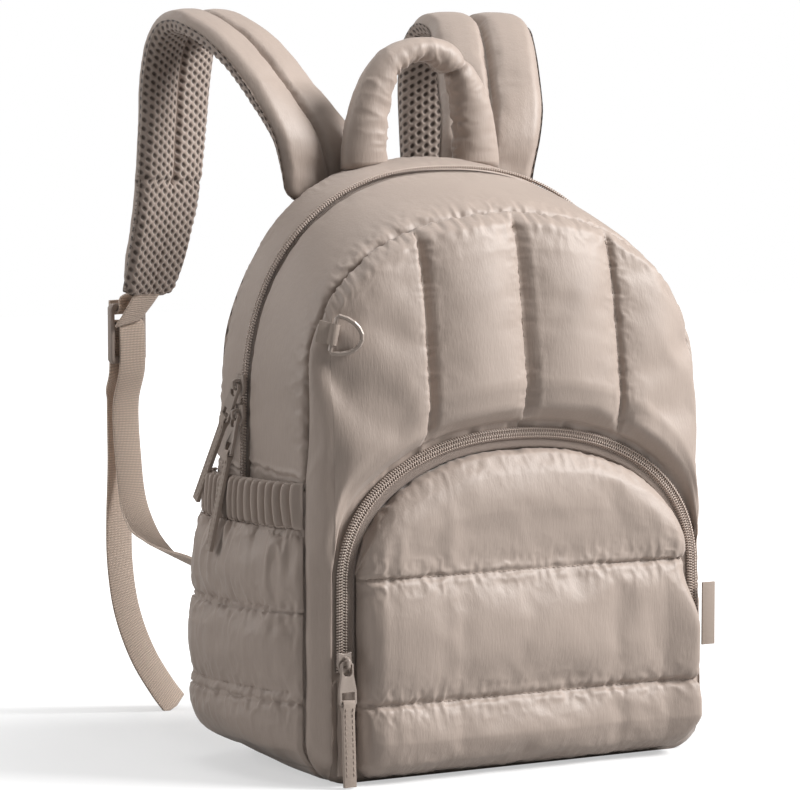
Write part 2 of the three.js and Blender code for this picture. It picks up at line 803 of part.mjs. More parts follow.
function strapCurve() {
  const foot = backTop - strapFoot;
  const start = backSurface(strapSpread, foot) + gap + strapPad * strapShape[0].thick;
  const points = strapPath.map(({ splay, reach, rise, drop }) =>
    vec(
      strapSpread + strapSplay * splay,
      start + strapReach * reach,
      foot + strapRise * rise - strapDrop * drop,
    ),
  );
  return new THREE.CatmullRomCurve3(points, false, "centripetal");
}

// The strap's frame at a share of its length: its middle, the way across and the way out.
function strapFrame(curve, share) {
  const middle = curve.getPointAt(share);
  const heading = strapHeading * clamp(share / 0.22, 0, 1);
  const across = vec(Math.cos(heading), -Math.sin(heading), 0);
  const out = vec().crossVectors(across, curve.getTangentAt(share)).normalize();
  return { middle, across, out };
}

const mirror = (point, side) => vec(point.x * side, point.y, point.z);

function addStrap(side, name) {
  const curve = strapCurve();
  const stations = range(19);
  const layer = (section, height) =>
    stations.map((share) => {
      const { middle, across, out } = strapFrame(curve, share);
      const half = (strapWidth / 2) * readTable(strapShape, "along", "width", share);
      const thick = readTable(strapShape, "along", "thick", share);
      return section.map((row) => {
        const point = middle.clone().addScaledVector(across, half * row.across);
        return mirror(point.addScaledVector(out, height(row, thick)), side);
      });
    });
  const outer = layer(padSection, (row, thick) => strapPad * row.height * thick);
  const face = layer(padSection, () => 0);
  addPiece(`strap_pad_${name}`, sheet(outer, face), looks.shell);
  const meshTop = layer(padSection, () => -gap);
  const meshUnder = layer(padSection, () => -gap - meshThickness);
  addPiece(`strap_mesh_${name}`, sheet(meshTop, meshUnder), looks.mesh);
}

// A flat band of webbing along a list of middles, each with its way across and its way out
function webbing(stations) {
  const half = webbingWidth / 2;
  const grid = (layer) =>
    stations.map(({ middle, across, out }) =>
      [-half, half].map((at) =>
        middle.clone().addScaledVector(across, at).addScaledVector(out, layer),
      ),
    );
  return sheet(grid(webbingThickness / 2), grid(-webbingThickness / 2));
}

// The lock hangs below the pad's end. Its window has a middle bar for the adjuster.
function lockFrame() {
  const end = strapFrame(strapCurve(), 1);
  const middle = end.middle.clone().add(vec(lockWidth * 0.27, lockWidth * 0.41, -lockDrop));
  return { middle, across: end.across, out: vec(Math.sin(strapHeading), Math.cos(strapHeading), 0) };
}

const slotWidth = webbingWidth + 2;
const upperSlot = 8;
const lowerSlot = lockHeight - 3 * lockBar - upperSlot;

function addLadderLock(side, name) {
  const outline = new THREE.Shape();
  const [halfWidth, corner] = [lockWidth / 2, lockBar / 2];
  const low = -lockBar / 2 - lowerSlot - lockBar;
  outline.moveTo(-halfWidth + corner, low);
  outline.lineTo(halfWidth - corner, low);
  outline.lineTo(halfWidth, low + corner);
  outline.lineTo(halfWidth, low + lockHeight - corner);
  outline.lineTo(halfWidth - corner, low + lockHeight);
  outline.lineTo(-halfWidth + corner, low + lockHeight);
  outline.lineTo(-halfWidth, low + lockHeight - corner);
  outline.lineTo(-halfWidth, low + corner);
  outline.closePath();
  for (const [from, to] of [
    [-lockBar / 2 - lowerSlot, -lockBar / 2],
    [lockBar / 2, lockBar / 2 + upperSlot],
  ]) {
    const slot = new THREE.Path();
    slot.moveTo(-slotWidth / 2, from);
    slot.lineTo(-slotWidth / 2, to);
    slot.lineTo(slotWidth / 2, to);
    slot.lineTo(slotWidth / 2, from);
    slot.closePath();
    outline.holes.push(slot);
  }
  const plate = new THREE.ExtrudeGeometry(outline, { depth: lockThickness, bevelEnabled: false });
  plate.translate(0, 0, -lockThickness / 2);
  const frame = lockFrame();
  const across = mirror(frame.across, side).multiplyScalar(side);
  const out = mirror(frame.out, side);
  const piece = addPiece(`ladder_lock_${name}`, plate, looks.plastic);
  piece.matrix.makeBasis(across, vec(0, 0, 1), vec().crossVectors(across, vec(0, 0, 1)));
  piece.quaternion.setFromRotationMatrix(piece.matrix);
  piece.position.copy(mirror(frame.middle, side));
  piece.userData.out = out;
}

// Half a turn of webbing round a bar of the lock, from one face of the lock to the other
function turnRound(frame, level, up) {
  const radius = Math.hypot(lockBar, lockThickness) / 2 + gap + webbingThickness / 2;
  return range(7).map((share) => {
    const turn = Math.PI * share;
    const away = frame.out.clone().multiplyScalar(-Math.cos(turn));
    const out = away.addScaledVector(vec(0, 0, up), Math.sin(turn));
    const middle = frame.middle.clone().add(vec(0, 0, level)).addScaledVector(out, radius);
    return { middle, across: frame.across, out };
  });
}

// The short webbing from the pad's end, round the lock's top bar
function addStrapWebbing(side, name) {
  const frame = lockFrame();
  const end = strapFrame(strapCurve(), 1);
  const topBar = lockBar / 2 + upperSlot + lockBar / 2;
  const turn = turnRound(frame, topBar, -1).map((row) => ({ ...row }));
  const level = vec(0, 0, 1);
  const lift = frame.middle.z + topBar + lockBar * 1.1;
  const tip = end.middle.clone().addScaledVector(end.out, -webbingThickness);
  const stations = [
    { middle: tip.add(vec(0, 0, -gap - 1.2)), across: end.across, out: end.out.clone() },
    { middle: turn[0].middle.clone().setZ(lift), across: frame.across, out: turn[0].out.clone() },
    ...turn,
    {
      middle: turn.at(-1).middle.clone().setZ(lift - 1),
      across: frame.across,
      out: turn.at(-1).out.clone(),
    },
  ];
  stations[0].out = stations[1].out.clone().add(level.multiplyScalar(0.35)).normalize();
  const placed = stations.map((row) => ({
    middle: mirror(row.middle, side),
    across: mirror(row.across, side),
    out: mirror(row.out, side),
  }));
  addPiece(`strap_webbing_${name}`, webbing(placed), looks.webbing);
}

// The adjuster runs from the back's side seam up to the lock, round its middle bar and down to
// its free end on the floor. These points are those of a hanging band and stay as chosen.
const loadedRun = [
  { x: 119, y: 66, z: 108, twist: 0.3 },
  { x: 124, y: 84, z: 108, twist: 0.35 },
  { x: 125, y: 112, z: 109, twist: 0.35 },
  { x: 122, y: 145, z: 112, twist: 0.25 },
  { x: 119, y: 172, z: 119, twist: 0.1 },
  { x: 117, y: 190, z: 134, twist: 0 },
  { x: 116.5, y: 198, z: 160, twist: 0 },
  { x: 116, y: 202, z: 195, twist: 0 },
];
const freeRun = [
  { x: 115, y: 213, z: 200 },
  { x: 114.5, y: 214, z: 160 },
  { x: 115, y: 215, z: 125 },
  { x: 114.5, y: 215, z: 93 },
  { x: 110.5, y: 214, z: 64 },
  { x: 101, y: 212, z: 36 },
  { x: 89, y: 210, z: 15 },
];

function addAdjuster(side, name) {
  const frame = lockFrame();
  const turn = turnRound(frame, 0, 1);
  const root = loadedRun[0];
  const seat = [-0.5, 0, 0.5].map((at) => backSurface(root.x + at * webbingWidth, root.z));
  const loaded = loadedRun.map((row, i) =>
    vec(row.x, i ? row.y : Math.max(...seat) + seatGap, row.z),
  );
  const free = freeRun.map(({ x, y, z }) => vec(x, y, z));
  const last = vec(79, 209, tailSeat);
  const below = -lockBar * 1.5 - lowerSlot - 4;
  const inside = turn[0].middle.clone().add(vec(0, 0, below));
  const outside = turn.at(-1).middle.clone().add(vec(0, 0, below));
  loaded.push(inside);
  const middles = [...loaded, ...turn.map((row) => row.middle), outside, ...free, last];
  const first = loaded.length;
  const stations = middles.map((middle, i) => {
    const [before, after] = [middles[Math.max(0, i - 1)], middles[Math.min(middles.length - 1, i + 1)]];
    const along = after.clone().sub(before).normalize();
    const twist = i < first - 1 ? loadedRun[i].twist : 0;
    const root = i < 3 ? vec(1, 0, 0) : frame.across.clone();
    const level = root.lerp(vec(0, 0, 1), i ? twist : 0).normalize();
    const inTurn = i >= first && i < first + turn.length;
    const out = inTurn ? turn[i - first].out : vec().crossVectors(level, along).normalize();
    return { middle, across: level, out };
  });
  const sign = stations[first].out.dot(vec().crossVectors(stations[first].across, vec(0, 0, 1)));
  const placed = stations.map((row, i) => {
    const inTurn = i >= first && i < first + turn.length;
    const out = row.out.clone().multiplyScalar(inTurn || sign > 0 ? 1 : -1);
    return {
      middle: mirror(row.middle, side),
      across: mirror(row.across, side),
      out: mirror(out, side),
    };
  });
  addPiece(`adjuster_webbing_${name}`, webbing(placed), looks.webbing);
}

// The D-ring and its tab lie on the left of the quilted front, beside the seam.
function addDRing() {
  const eyeX = -(bodyHalfWidth - ringInset);
  const seamX = -(bodyHalfWidth - seamInset);
  const eye = ringWire + eyeClearance;
  const round = eye + tabThickness / 2;
  const ground = frontSurface(eyeX, ringLevel);
  const slope = Math.atan2(frontSurface(eyeX + ringReach, ringLevel) - ground, ringReach);
  const holder = new THREE.Group();
  const eyeY = ground - (round + tabSeat) / Math.cos(slope);
  holder.position.set(narrow(eyeX, ringLevel), eyeY, ringLevel);
  holder.rotation.set(0, degToRad(ringDroop), slope, "ZYX");
  backpack.add(holder);

  const length = (eyeX - seamX) / Math.cos(slope);
  const outline = new THREE.Shape();
  outline.moveTo(-length, -tabThickness / 2);
  outline.lineTo(-round, -tabThickness / 2);
  for (const k of range(9)) {
    const turn = Math.PI * (-0.75 + 1.5 * k);
    outline.lineTo(round * Math.cos(turn), round * Math.sin(turn));
  }
  outline.lineTo(-round, tabThickness / 2);
  outline.lineTo(-length, tabThickness / 2);
  outline.closePath();
  const hole = new THREE.Path();
  hole.absarc(0, 0, eye, 0, 2 * Math.PI, true);
  outline.holes.push(hole);
  const tab = new THREE.ExtrudeGeometry(outline, {
    depth: tabHeight,
    bevelEnabled: false,
    curveSegments: 6,
  });
  tab.translate(0, 0, -tabHeight / 2);
  addPiece("d_ring_tab", tab, looks.webbing, holder);

  const half = ringHeight / 2;
  const bow = range(11).map((k) => {
    const turn = -Math.PI / 2 + Math.PI * k;
    return vec(1 + ringReach * Math.cos(turn), 0, half * Math.sin(turn));
  });
  const path = [vec(0, 0, half - 1.2), vec(0, 0, -half + 1.2), ...bow];
  const sides = 8;
  const rings = path.map((middle, i) => {
    const before = path[(i + path.length - 1) % path.length];
    const after = path[(i + 1) % path.length];
    const along = after.clone().sub(before).normalize();
    const out = vec().crossVectors(along, vec(0, 1, 0)).normalize();
    return Array.from({ length: sides }, (_, k) => {
      const turn = (2 * Math.PI * (k + 0.5)) / sides;
      return middle
        .clone()
        .addScaledVector(out, ringWire * Math.cos(turn))
        .add(vec(0, ringWire * Math.sin(turn), 0));
    });
  });
  addPiece("d_ring", bar(rings, true), looks.metal, holder);
}

// Each slider's own frame: x across the zip, z along it and -y out from the bag.
const bridgeHalf = 3.4;
const tunnelHalf = 2;
const pinLevel = plateThickness + 1.7; // the pull's bar above the plate's underside

function sliderGeometry() {
  const plate = new THREE.Shape();
  const [half, end] = [sliderWidth / 2, sliderLength / 2];
  plate.moveTo(-half * 0.55, -end);
  plate.lineTo(half * 0.55, -end);
  plate.lineTo(half, -end * 0.2);
  plate.lineTo(half * 0.9, end);
  plate.lineTo(half * 0.3, end * 0.85);
  plate.lineTo(-half * 0.3, end * 0.85);
  plate.lineTo(-half * 0.9, end);
  plate.lineTo(-half, -end * 0.2);
  plate.closePath();
  const base = new THREE.ExtrudeGeometry(plate, { depth: plateThickness, bevelEnabled: false });
  base.rotateX(Math.PI / 2);

  const arch = new THREE.Shape();
  const low = plateThickness * 0.5;
  arch.moveTo(-bridgeHalf, low);
  arch.lineTo(-bridgeHalf, plateThickness + bridgeRise * 0.6);
  arch.lineTo(-bridgeHalf * 0.6, plateThickness + bridgeRise);
  arch.lineTo(bridgeHalf * 0.6, plateThickness + bridgeRise);
  arch.lineTo(bridgeHalf, plateThickness + bridgeRise * 0.6);
  arch.lineTo(bridgeHalf, low);
  arch.lineTo(tunnelHalf, low);
  arch.lineTo(tunnelHalf, plateThickness + bridgeRise * 0.5);
  arch.lineTo(tunnelHalf * 0.6, plateThickness + bridgeRise * 0.7);
  arch.lineTo(-tunnelHalf * 0.6, plateThickness + bridgeRise * 0.7);
  arch.lineTo(-tunnelHalf, plateThickness + bridgeRise * 0.5);
  arch.lineTo(-tunnelHalf, low);
  arch.closePath();
  const bridge = new THREE.ExtrudeGeometry(arch, { depth: bridgeWidth, bevelEnabled: false });
  bridge.translate(0, 0, -bridgeWidth / 2);
  // the arch's plane stands along the zip, with its rise outwards
  bridge.applyMatrix4(
    new THREE.Matrix4().makeBasis(vec(0, 1, 0), vec(0, 0, 1), vec(1, 0, 0)),
  );
  base.rotateX(-Math.PI / 2);
  return joined(base, bridge);
}

// The link: a ring at the top round the bridge and a window at the foot for the tab
const ringHole = 5.6;
const linkBar = 1.8;

function linkGeometry(halfWidth) {
  const outline = new THREE.Shape();
  const neck = ringHole / 2 + 1;
  outline.moveTo(-neck * 0.6, linkBar / 2);
  outline.lineTo(neck * 0.6, linkBar / 2);
  outline.lineTo(neck, -linkBar * 0.4);
  outline.lineTo(neck, -6.5);
  outline.lineTo(halfWidth, -15);
  outline.lineTo(halfWidth, -linkLength + 1.5);
  outline.lineTo(halfWidth - 1.5, -linkLength);
  outline.lineTo(-halfWidth + 1.5, -linkLength);
  outline.lineTo(-halfWidth, -linkLength + 1.5);
  outline.lineTo(-halfWidth, -15);
  outline.lineTo(-neck, -6.5);
  outline.lineTo(-neck, -linkBar * 0.4);
  outline.closePath();
  const ring = new THREE.Path();
  ring.moveTo(-ringHole / 2, -linkBar / 2);
  ring.lineTo(-ringHole / 2, -5.6);
  ring.lineTo(-ringHole / 4, -7.4);
  ring.lineTo(ringHole / 4, -7.4);
  ring.lineTo(ringHole / 2, -5.6);
  ring.lineTo(ringHole / 2, -linkBar / 2);
  ring.closePath();
  const window = new THREE.Path();
  const inner = halfWidth - 1.4;
  window.moveTo(-inner, -linkLength + linkBar);
  window.lineTo(inner, -linkLength + linkBar);
  window.lineTo(inner, -linkLength + linkBar + 6);
  window.lineTo(-inner, -linkLength + linkBar + 6);
  window.closePath();
  outline.holes.push(ring, window);
  const link = new THREE.ExtrudeGeometry(outline, { depth: pullThickness, bevelEnabled: false });
  link.translate(0, 0, -pullThickness / 2);
  return link;
}

// The folded cloth tab: an eye round the link's foot bar, then two layers sewn flat
const tabFold = 1.1;
const tabSewn = 2.4;

function tabGeometry(halfWidth, length) {
  const eyeHalf = pullThickness / 2 + gap + 0.1;
  const eyeTall = linkBar / 2 + gap + 0.1;
  const outline = new THREE.Shape();
  outline.moveTo(-eyeHalf - tabFold, 0);
  outline.lineTo(-eyeHalf - tabFold * 0.4, eyeTall + tabFold);
  outline.lineTo(eyeHalf + tabFold * 0.4, eyeTall + tabFold);
  outline.lineTo(eyeHalf + tabFold, 0);
  outline.lineTo(tabSewn / 2, -eyeTall - 4);
  outline.lineTo(tabSewn / 2, -length);
  outline.lineTo(-tabSewn / 2, -length);
  outline.lineTo(-tabSewn / 2, -eyeTall - 4);
  outline.closePath();
  const eye = new THREE.Path();
  eye.moveTo(-eyeHalf, -eyeTall);
  eye.lineTo(eyeHalf, -eyeTall);
  eye.lineTo(eyeHalf, eyeTall);
  eye.lineTo(-eyeHalf, eyeTall);
  eye.closePath();
  outline.holes.push(eye);
  const width = (halfWidth - 1.4 - gap) * 2;
  const tab = new THREE.ExtrudeGeometry(outline, { depth: width, bevelEnabled: false });
  tab.translate(0, 0, -width / 2);
  // its profile stands across the link's plane
  tab.rotateY(Math.PI / 2);
  tab.translate(0, -linkLength + linkBar / 2, 0);
  return tab;
}

// The three sliders. Lean swings a pull in the plane of the zip, tilt lifts it off the bag.
const pulls = [
  { name: "front", halfWidth: 5.4, tab: 46, lean: 0, tilt: 3 },
  { name: "main_upper", halfWidth: 4.5, tab: 56, lean: 29, tilt: 5 },
  { name: "main_lower", halfWidth: 4.5, tab: 56, lean: 0, tilt: 13 },
];

function addSlider(pull, position, facing) {
  const holder = new THREE.Group();
  holder.position.copy(position);
  holder.rotation.z = facing;
  backpack.add(holder);
  // geometry is drawn with its plane in x and y, so it is stood up with its face to -y
  const stand = new THREE.Matrix4().makeBasis(vec(1, 0, 0), vec(0, 0, 1), vec(0, -1, 0));
  addPiece(`${pull.name}_slider`, sliderGeometry().applyMatrix4(stand), looks.metal, holder);
  const swing = new THREE.Group();
  swing.position.set(0, -pinLevel, 0);
  swing.rotation.order = "YXZ";
  swing.rotation.y = degToRad(pull.lean);
  swing.rotation.x = -degToRad(pull.tilt);
  holder.add(swing);
  addPiece(`${pull.name}_pull`, linkGeometry(pull.halfWidth).applyMatrix4(stand), looks.metal, swing);
  const tab = tabGeometry(pull.halfWidth, pull.tab).applyMatrix4(stand);
  addPiece(`${pull.name}_pull_tab`, tab, looks.webbing, swing);
}

function addSliders() {
  const height = gap + tapeThickness + coilHeight + gap;
  const frontPlace = vec(
    narrow(pocketShift - (pocketHalfWidth + pocketCoil), frontSliderLevel),
    groundY(frontSliderLevel) - height,
    frontSliderLevel,
  );
  addSlider(pulls[0], frontPlace, 0);
  [mainSliderLevel, mainSliderLevel - sliderSpacing].forEach((z, i) => {
    const across = (mainZipPlane - frontY(z)) / (backY(z) - frontY(z));
    const out = narrow(sideSurface(across, z), z) + coilHeight + seatGap;
    addSlider(pulls[1 + i], vec(-out, mainZipPlane, z), -Math.PI / 2);
  });
}

// The label stands out of the right end of the pocket zip, over the strip beside it.
function addSideLabel() {
  const label = new THREE.BoxGeometry(labelWidth, labelThickness, labelHeight);
  const piece = addPiece("side_label", label, looks.webbing);
  const z = labelFoot + labelHeight / 2;
  const x = narrow(pocketShift + foldHalfWidth, z) + labelWidth / 2 - 1;
  const lift = gap + rim + recess * stripShare + seatGap + labelThickness / 2;
  piece.position.set(x, frontY(z) - lift, z);
}

addBody();
addMainZip();
addFrontPanel();
addBackPanel();
addFrontPocket();
addPocketZip();
addHandle();
for (const [side, name] of [[-1, "left"], [1, "right"]]) {
  addSidePocket(side, name);
  addStrap(side, name);
  addLadderLock(side, name);
  addStrapWebbing(side, name);
  addAdjuster(side, name);
}
addDRing();
addSliders();
addSideLabel();

export default backpack;
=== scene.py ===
import itertools
import json

import bmesh
import bpy
import numpy as np
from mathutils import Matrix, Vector
from mathutils.bvhtree import BVHTree

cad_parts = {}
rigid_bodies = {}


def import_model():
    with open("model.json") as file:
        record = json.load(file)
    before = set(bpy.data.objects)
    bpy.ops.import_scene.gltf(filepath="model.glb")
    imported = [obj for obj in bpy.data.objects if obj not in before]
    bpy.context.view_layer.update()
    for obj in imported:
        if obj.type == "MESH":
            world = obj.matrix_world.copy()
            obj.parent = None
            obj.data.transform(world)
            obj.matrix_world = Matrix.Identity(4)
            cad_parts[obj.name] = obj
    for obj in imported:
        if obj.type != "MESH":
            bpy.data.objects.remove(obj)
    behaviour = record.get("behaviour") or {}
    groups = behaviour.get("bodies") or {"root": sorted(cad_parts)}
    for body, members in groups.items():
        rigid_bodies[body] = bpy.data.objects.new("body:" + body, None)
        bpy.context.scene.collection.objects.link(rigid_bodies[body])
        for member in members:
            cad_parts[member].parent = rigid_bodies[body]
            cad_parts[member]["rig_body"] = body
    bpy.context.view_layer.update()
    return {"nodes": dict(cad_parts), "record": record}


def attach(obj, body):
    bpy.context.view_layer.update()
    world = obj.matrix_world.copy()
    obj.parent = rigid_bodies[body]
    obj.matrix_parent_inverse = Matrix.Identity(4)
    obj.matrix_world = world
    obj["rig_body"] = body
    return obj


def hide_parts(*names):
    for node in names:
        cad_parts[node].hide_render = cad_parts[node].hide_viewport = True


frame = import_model()
mm = 0.001


# Tables, noise and grids

tableSteps = 801


# A table of pairs as a curve, with its corners eased over a share of its length.
def smoothTable(rows, places, soft=0.03):
    xs, ys = zip(*rows)
    dense = np.linspace(xs[0], xs[-1], tableSteps)
    line = np.interp(dense, xs, ys)
    width = max(1, int(tableSteps * soft))
    kernel = np.hanning(width * 2 + 3)[1:-1]
    ends = 2 * line[0] - line[width:0:-1], 2 * line[-1] - line[-2:-width - 2:-1]
    line = np.convolve(np.concatenate([ends[0], line, ends[1]]), kernel / kernel.sum(), "valid")
    return np.interp(places, dense, line)


# a turn that keeps the noise off the grid's own lines
turned = np.array([[0.36, 0.48, -0.8], [-0.8, 0.6, 0], [0.48, 0.64, 0.6]])


# Smooth noise between -1 and 1 that is the same on every run.
def cloudy(points, size, seed, octaves=1):
    total, share = 0, 1
    points = np.asarray(points, float) / size
    if points.shape[-1] == 3:
        points = points @ turned
    for octave in range(octaves):
        cell = np.floor(points).astype(np.int64)
        part = points - cell
        part = part * part * (3 - 2 * part)
        value = 0
        for corner in itertools.product((0, 1), repeat=points.shape[-1]):
            spot = cell + np.array(corner)
            mixed = np.full(spot.shape[:-1], seed * 7919 + octave * 104729, np.int64)
            for axis, prime in zip(range(points.shape[-1]), (374761393, 668265263, 2147483629)):
                mixed = (mixed + spot[..., axis] * prime) & 0xFFFFFFFF
                mixed = ((mixed ^ (mixed >> 13)) * 1274126177) & 0xFFFFFFFF
            height = ((mixed ^ (mixed >> 16)) & 0xFFFF) / 32767.5 - 1
            weight = np.prod(np.where(np.array(corner) == 1, part, 1 - part), axis=-1)
            value = value + height * weight
        total = total + value * share
        points, share = points * 2.03, share * 0.5
    return total


def mix(a, b, share):
    return a + (b - a) * share


def smoothStep(low, high, value):
    share = np.clip((value - low) / (high - low), 0, 1)
    return share * share * (3 - 2 * share)


def unit(vectors):
    return vectors / np.maximum(np.linalg.norm(vectors, axis=-1, keepdims=True), 1e-9)


def refineAxis(grid, times, axis):
    rows = np.moveaxis(grid, axis, 0)
    place = np.linspace(0, len(rows) - 1, (len(rows) - 1) * times + 1)
    low = np.minimum(place.astype(int), len(rows) - 2)
    f = (place - low).reshape(-1, *[1] * (rows.ndim - 1))
    a, b, c, d = (rows[np.clip(low + k, 0, len(rows) - 1)] for k in (-1, 0, 1, 2))
    line = b + 0.5 * f * (c - a + f * (2 * a - 5 * b + 4 * c - d + f * (3 * (b - c) + d - a)))
    return np.moveaxis(line, 0, axis)


def refine(grid, times):
    return grid if times == 1 else refineAxis(refineAxis(grid, times, 0), times, 1)


def gridNormals(grid, inward=None):
    way = np.cross(np.gradient(grid, axis=0), np.gradient(grid, axis=1))
    way = unit(way)
    if inward is not None and np.sum(way * inward) > 0:
        way = -way
    return way


def gridLengths(grid):
    lines = []
    for axis in (0, 1):
        step = np.linalg.norm(np.diff(grid, axis=axis), axis=-1)
        step = step.mean(axis=1 - axis)
        lines.append(np.concatenate([[0], np.cumsum(step)]))
    return np.meshgrid(*lines, indexing="ij")


# How far along a line each of its points lies.
def runOf(points):
    return np.concatenate([[0], np.cumsum(np.linalg.norm(np.diff(points, axis=0), axis=1))])


# A line resampled in even steps.
def evenly(line, count):
    run = runOf(line)
    even = np.linspace(0, run[-1], count)
    return np.stack([np.interp(even, run, line[:, k]) for k in range(line.shape[1])], -1)


# A grid's shares from 0 to 1, down its rows and across its columns.
def shareGrid(rows, columns):
    return np.meshgrid(np.linspace(0, 1, rows), np.linspace(0, 1, columns), indexing="ij")


# One way for every point of a grid.
def facing(grid, axis, sign):
    ways = np.zeros_like(grid)
    ways[..., axis] = sign
    return ways


# Pins that hold the border of a grid of cloth.
def edgePins(grid):
    pins = np.zeros(grid.shape[:2])
    pins[0] = pins[-1] = pins[:, 0] = pins[:, -1] = 1
    return pins


def bell(distance, width):
    return np.exp(-(distance / width) ** 2)


# A mesh in metres from points in millimetres. Its uv counts in tenths of a metre.
def makeMesh(name, points, faces, uv=None):
    mesh = bpy.data.meshes.new(name)
    mesh.from_pydata((np.asarray(points, float).reshape(-1, 3) * mm).tolist(), [], faces)
    mesh.validate()
    if uv is not None:
        layer = mesh.uv_layers.new(name="cloth")
        corner = np.zeros(len(mesh.loops), np.int32)
        mesh.loops.foreach_get("vertex_index", corner)
        layer.data.foreach_set("uv", (np.asarray(uv, float).reshape(-1, 2) / 100)[corner].ravel())
    thing = bpy.data.objects.new(name, mesh)
    bpy.context.scene.collection.objects.link(thing)
    work = bmesh.new()
    work.from_mesh(mesh)
    bmesh.ops.recalc_face_normals(work, faces=work.faces)
    work.to_mesh(mesh)
    work.free()
    mesh.polygons.foreach_set("use_smooth", [True] * len(mesh.polygons))
    return thing


def gridFaces(rows, columns, start=0, flip=False):
    i, j = np.meshgrid(np.arange(rows - 1), np.arange(columns - 1), indexing="ij")
    a = (i * columns + j + start).ravel()
    quads = np.stack([a, a + 1, a + columns + 1, a + columns], axis=1)
    return (quads[:, ::-1] if flip else quads).tolist()


def border(rows, columns):
    loop = [(0, j) for j in range(columns - 1)]
    loop += [(i, columns - 1) for i in range(rows - 1)]
    loop += [(rows - 1, j) for j in range(columns - 1, 0, -1)]
    loop += [(i, 0) for i in range(rows - 1, 0, -1)]
    return loop


# A closed shell: a fine outer grid, a coarse inner one, and fans that join their borders.
def shell(name, outer, inner, uv):
    (n, m), (rows, columns) = outer.shape[:2], inner.shape[:2]
    times = (n - 1) // (rows - 1)
    start = n * m
    faces = gridFaces(n, m) + gridFaces(rows, columns, start, flip=True)
    fine = [i * m + j for i, j in border(n, m)]
    rough = [start + i * columns + j for i, j in border(rows, columns)]
    for k, a in enumerate(rough):
        b = rough[(k + 1) % len(rough)]
        run = [fine[(k * times + t) % len(fine)] for t in range(times + 1)]
        half = times // 2
        for t in range(times):
            faces.append([run[t + 1], run[t], a if t < half or times == 1 else b])
        faces.append([run[half], a, b] if times > 1 else [run[1], a, b])
    coarse = uv[::times, ::times]
    return makeMesh(name, np.concatenate([outer.reshape(-1, 3), inner.reshape(-1, 3)]), faces,
                    np.concatenate([uv.reshape(-1, 2), coarse.reshape(-1, 2)]))


# A tube through rings of points, with a cap on each end.
def tube(name, rings, uv=None):
    count, sides = rings.shape[:2]
    faces = []
    for i in range(count - 1):
        for j in range(sides):
            a, b = i * sides + j, i * sides + (j + 1) % sides
            faces.append([a, b, b + sides, a + sides])
    faces += [list(range(sides))[::-1], [(count - 1) * sides + j for j in range(sides)]]
    if uv is None:
        uv = np.stack(gridLengths(rings), axis=-1)
    return makeMesh(name, rings, faces, uv)


fabric = {
    "quality": 6, "mass": 0.15, "stiff": 8, "shear": 4, "bending": 0.4, "damping": 2, "pin": 5, "calm": 3,
}


# Lets a pinned grid of cloth swell, grow and wrinkle. Its seams are held, and no point moves past the cap.
def settle(grid, pins, inward, pressure, growth, frames, cap):
    rows, columns = grid.shape[:2]
    cloth = makeMesh("settling", grid, gridFaces(rows, columns))
    mesh = cloth.data
    ways = gridNormals(grid, inward).reshape(-1, 3)
    probes = [mesh.polygons[k] for k in range(0, len(mesh.polygons), 97)]
    if sum(Vector(ways[face.vertices[0]]).dot(face.normal) for face in probes) < 0:
        mesh.flip_normals()
    held = cloth.vertex_groups.new(name="held")
    for k, share in enumerate(np.asarray(pins, float).ravel()):
        if share > 0.01:
            held.add([k], float(share), "REPLACE")
    change = cloth.modifiers.new("cloth", "CLOTH")
    rules = change.settings
    rules.quality = fabric["quality"]
    rules.mass = fabric["mass"]
    rules.tension_stiffness = rules.compression_stiffness = fabric["stiff"]
    rules.shear_stiffness = fabric["shear"]
    rules.bending_stiffness = fabric["bending"]
    rules.air_damping = fabric["damping"]
    rules.vertex_group_mass = "held"
    rules.pin_stiffness = fabric["pin"]
    rules.use_pressure = True
    rules.uniform_pressure_force = pressure
    rules.shrink_min = rules.shrink_max = -growth
    rules.effector_weights.gravity = 0
    change.collision_settings.use_collision = False
    change.collision_settings.use_self_collision = False
    change.point_cache.frame_start, change.point_cache.frame_end = 1, frames
    scene = bpy.context.scene
    for step in range(1, frames + 1):
        scene.frame_set(step)
    graph = bpy.context.evaluated_depsgraph_get()
    settled = cloth.evaluated_get(graph).data
    found = np.zeros(len(settled.vertices) * 3)
    settled.vertices.foreach_get("co", found)
    scene.frame_set(1)
    bpy.data.objects.remove(cloth)
    move = found.reshape(grid.shape) / mm - grid
    size = np.linalg.norm(move, axis=-1, keepdims=True)
    move = np.nan_to_num(move * np.minimum(1, cap / np.maximum(size, 1e-6)))
    free = (1 - np.asarray(pins, float))[..., None]
    for _ in range(fabric["calm"]):
        wide = np.pad(move, ((1, 1), (1, 1), (0, 0)), "edge")
        near = (wide[:-2, 1:-1] + wide[2:, 1:-1] + wide[1:-1, :-2] + wide[1:-1, 2:]) / 4
        move = (move + near) / 2 * free
    return grid + move


# The bag's body, as the solids have it

bag = {
    "halfWidth": 133, "taper": 6, "depth": 116, "frontLean": 8, "backLean": 13, "gap": 0.3, "rim": 3,
    "zipPlane": 9, "zipWidth": 12, "zipShare": 0.7, "zipEnd": 165, "crown": 4, "wall": 3,
}
frontFace = {"side": 216, "rise": 103, "corner": 25, "curve": 2.3}
backFace = {"side": 201, "rise": 146, "corner": 40, "curve": 2.4}
frontTop = frontFace["side"] + frontFace["rise"]
backTop = backFace["side"] + backFace["rise"]


def narrow(x, z):
    return x * (1 - bag["taper"] * z / (backTop * bag["halfWidth"]))


def frontY(z):
    return -bag["depth"] / 2 + bag["frontLean"] * z / frontTop


def backY(z):
    return bag["depth"] / 2 - bag["backLean"] * z / backTop


def archShare(share, curve):
    return (1 - np.minimum(1, np.abs(share)) ** curve) ** (1 / curve)


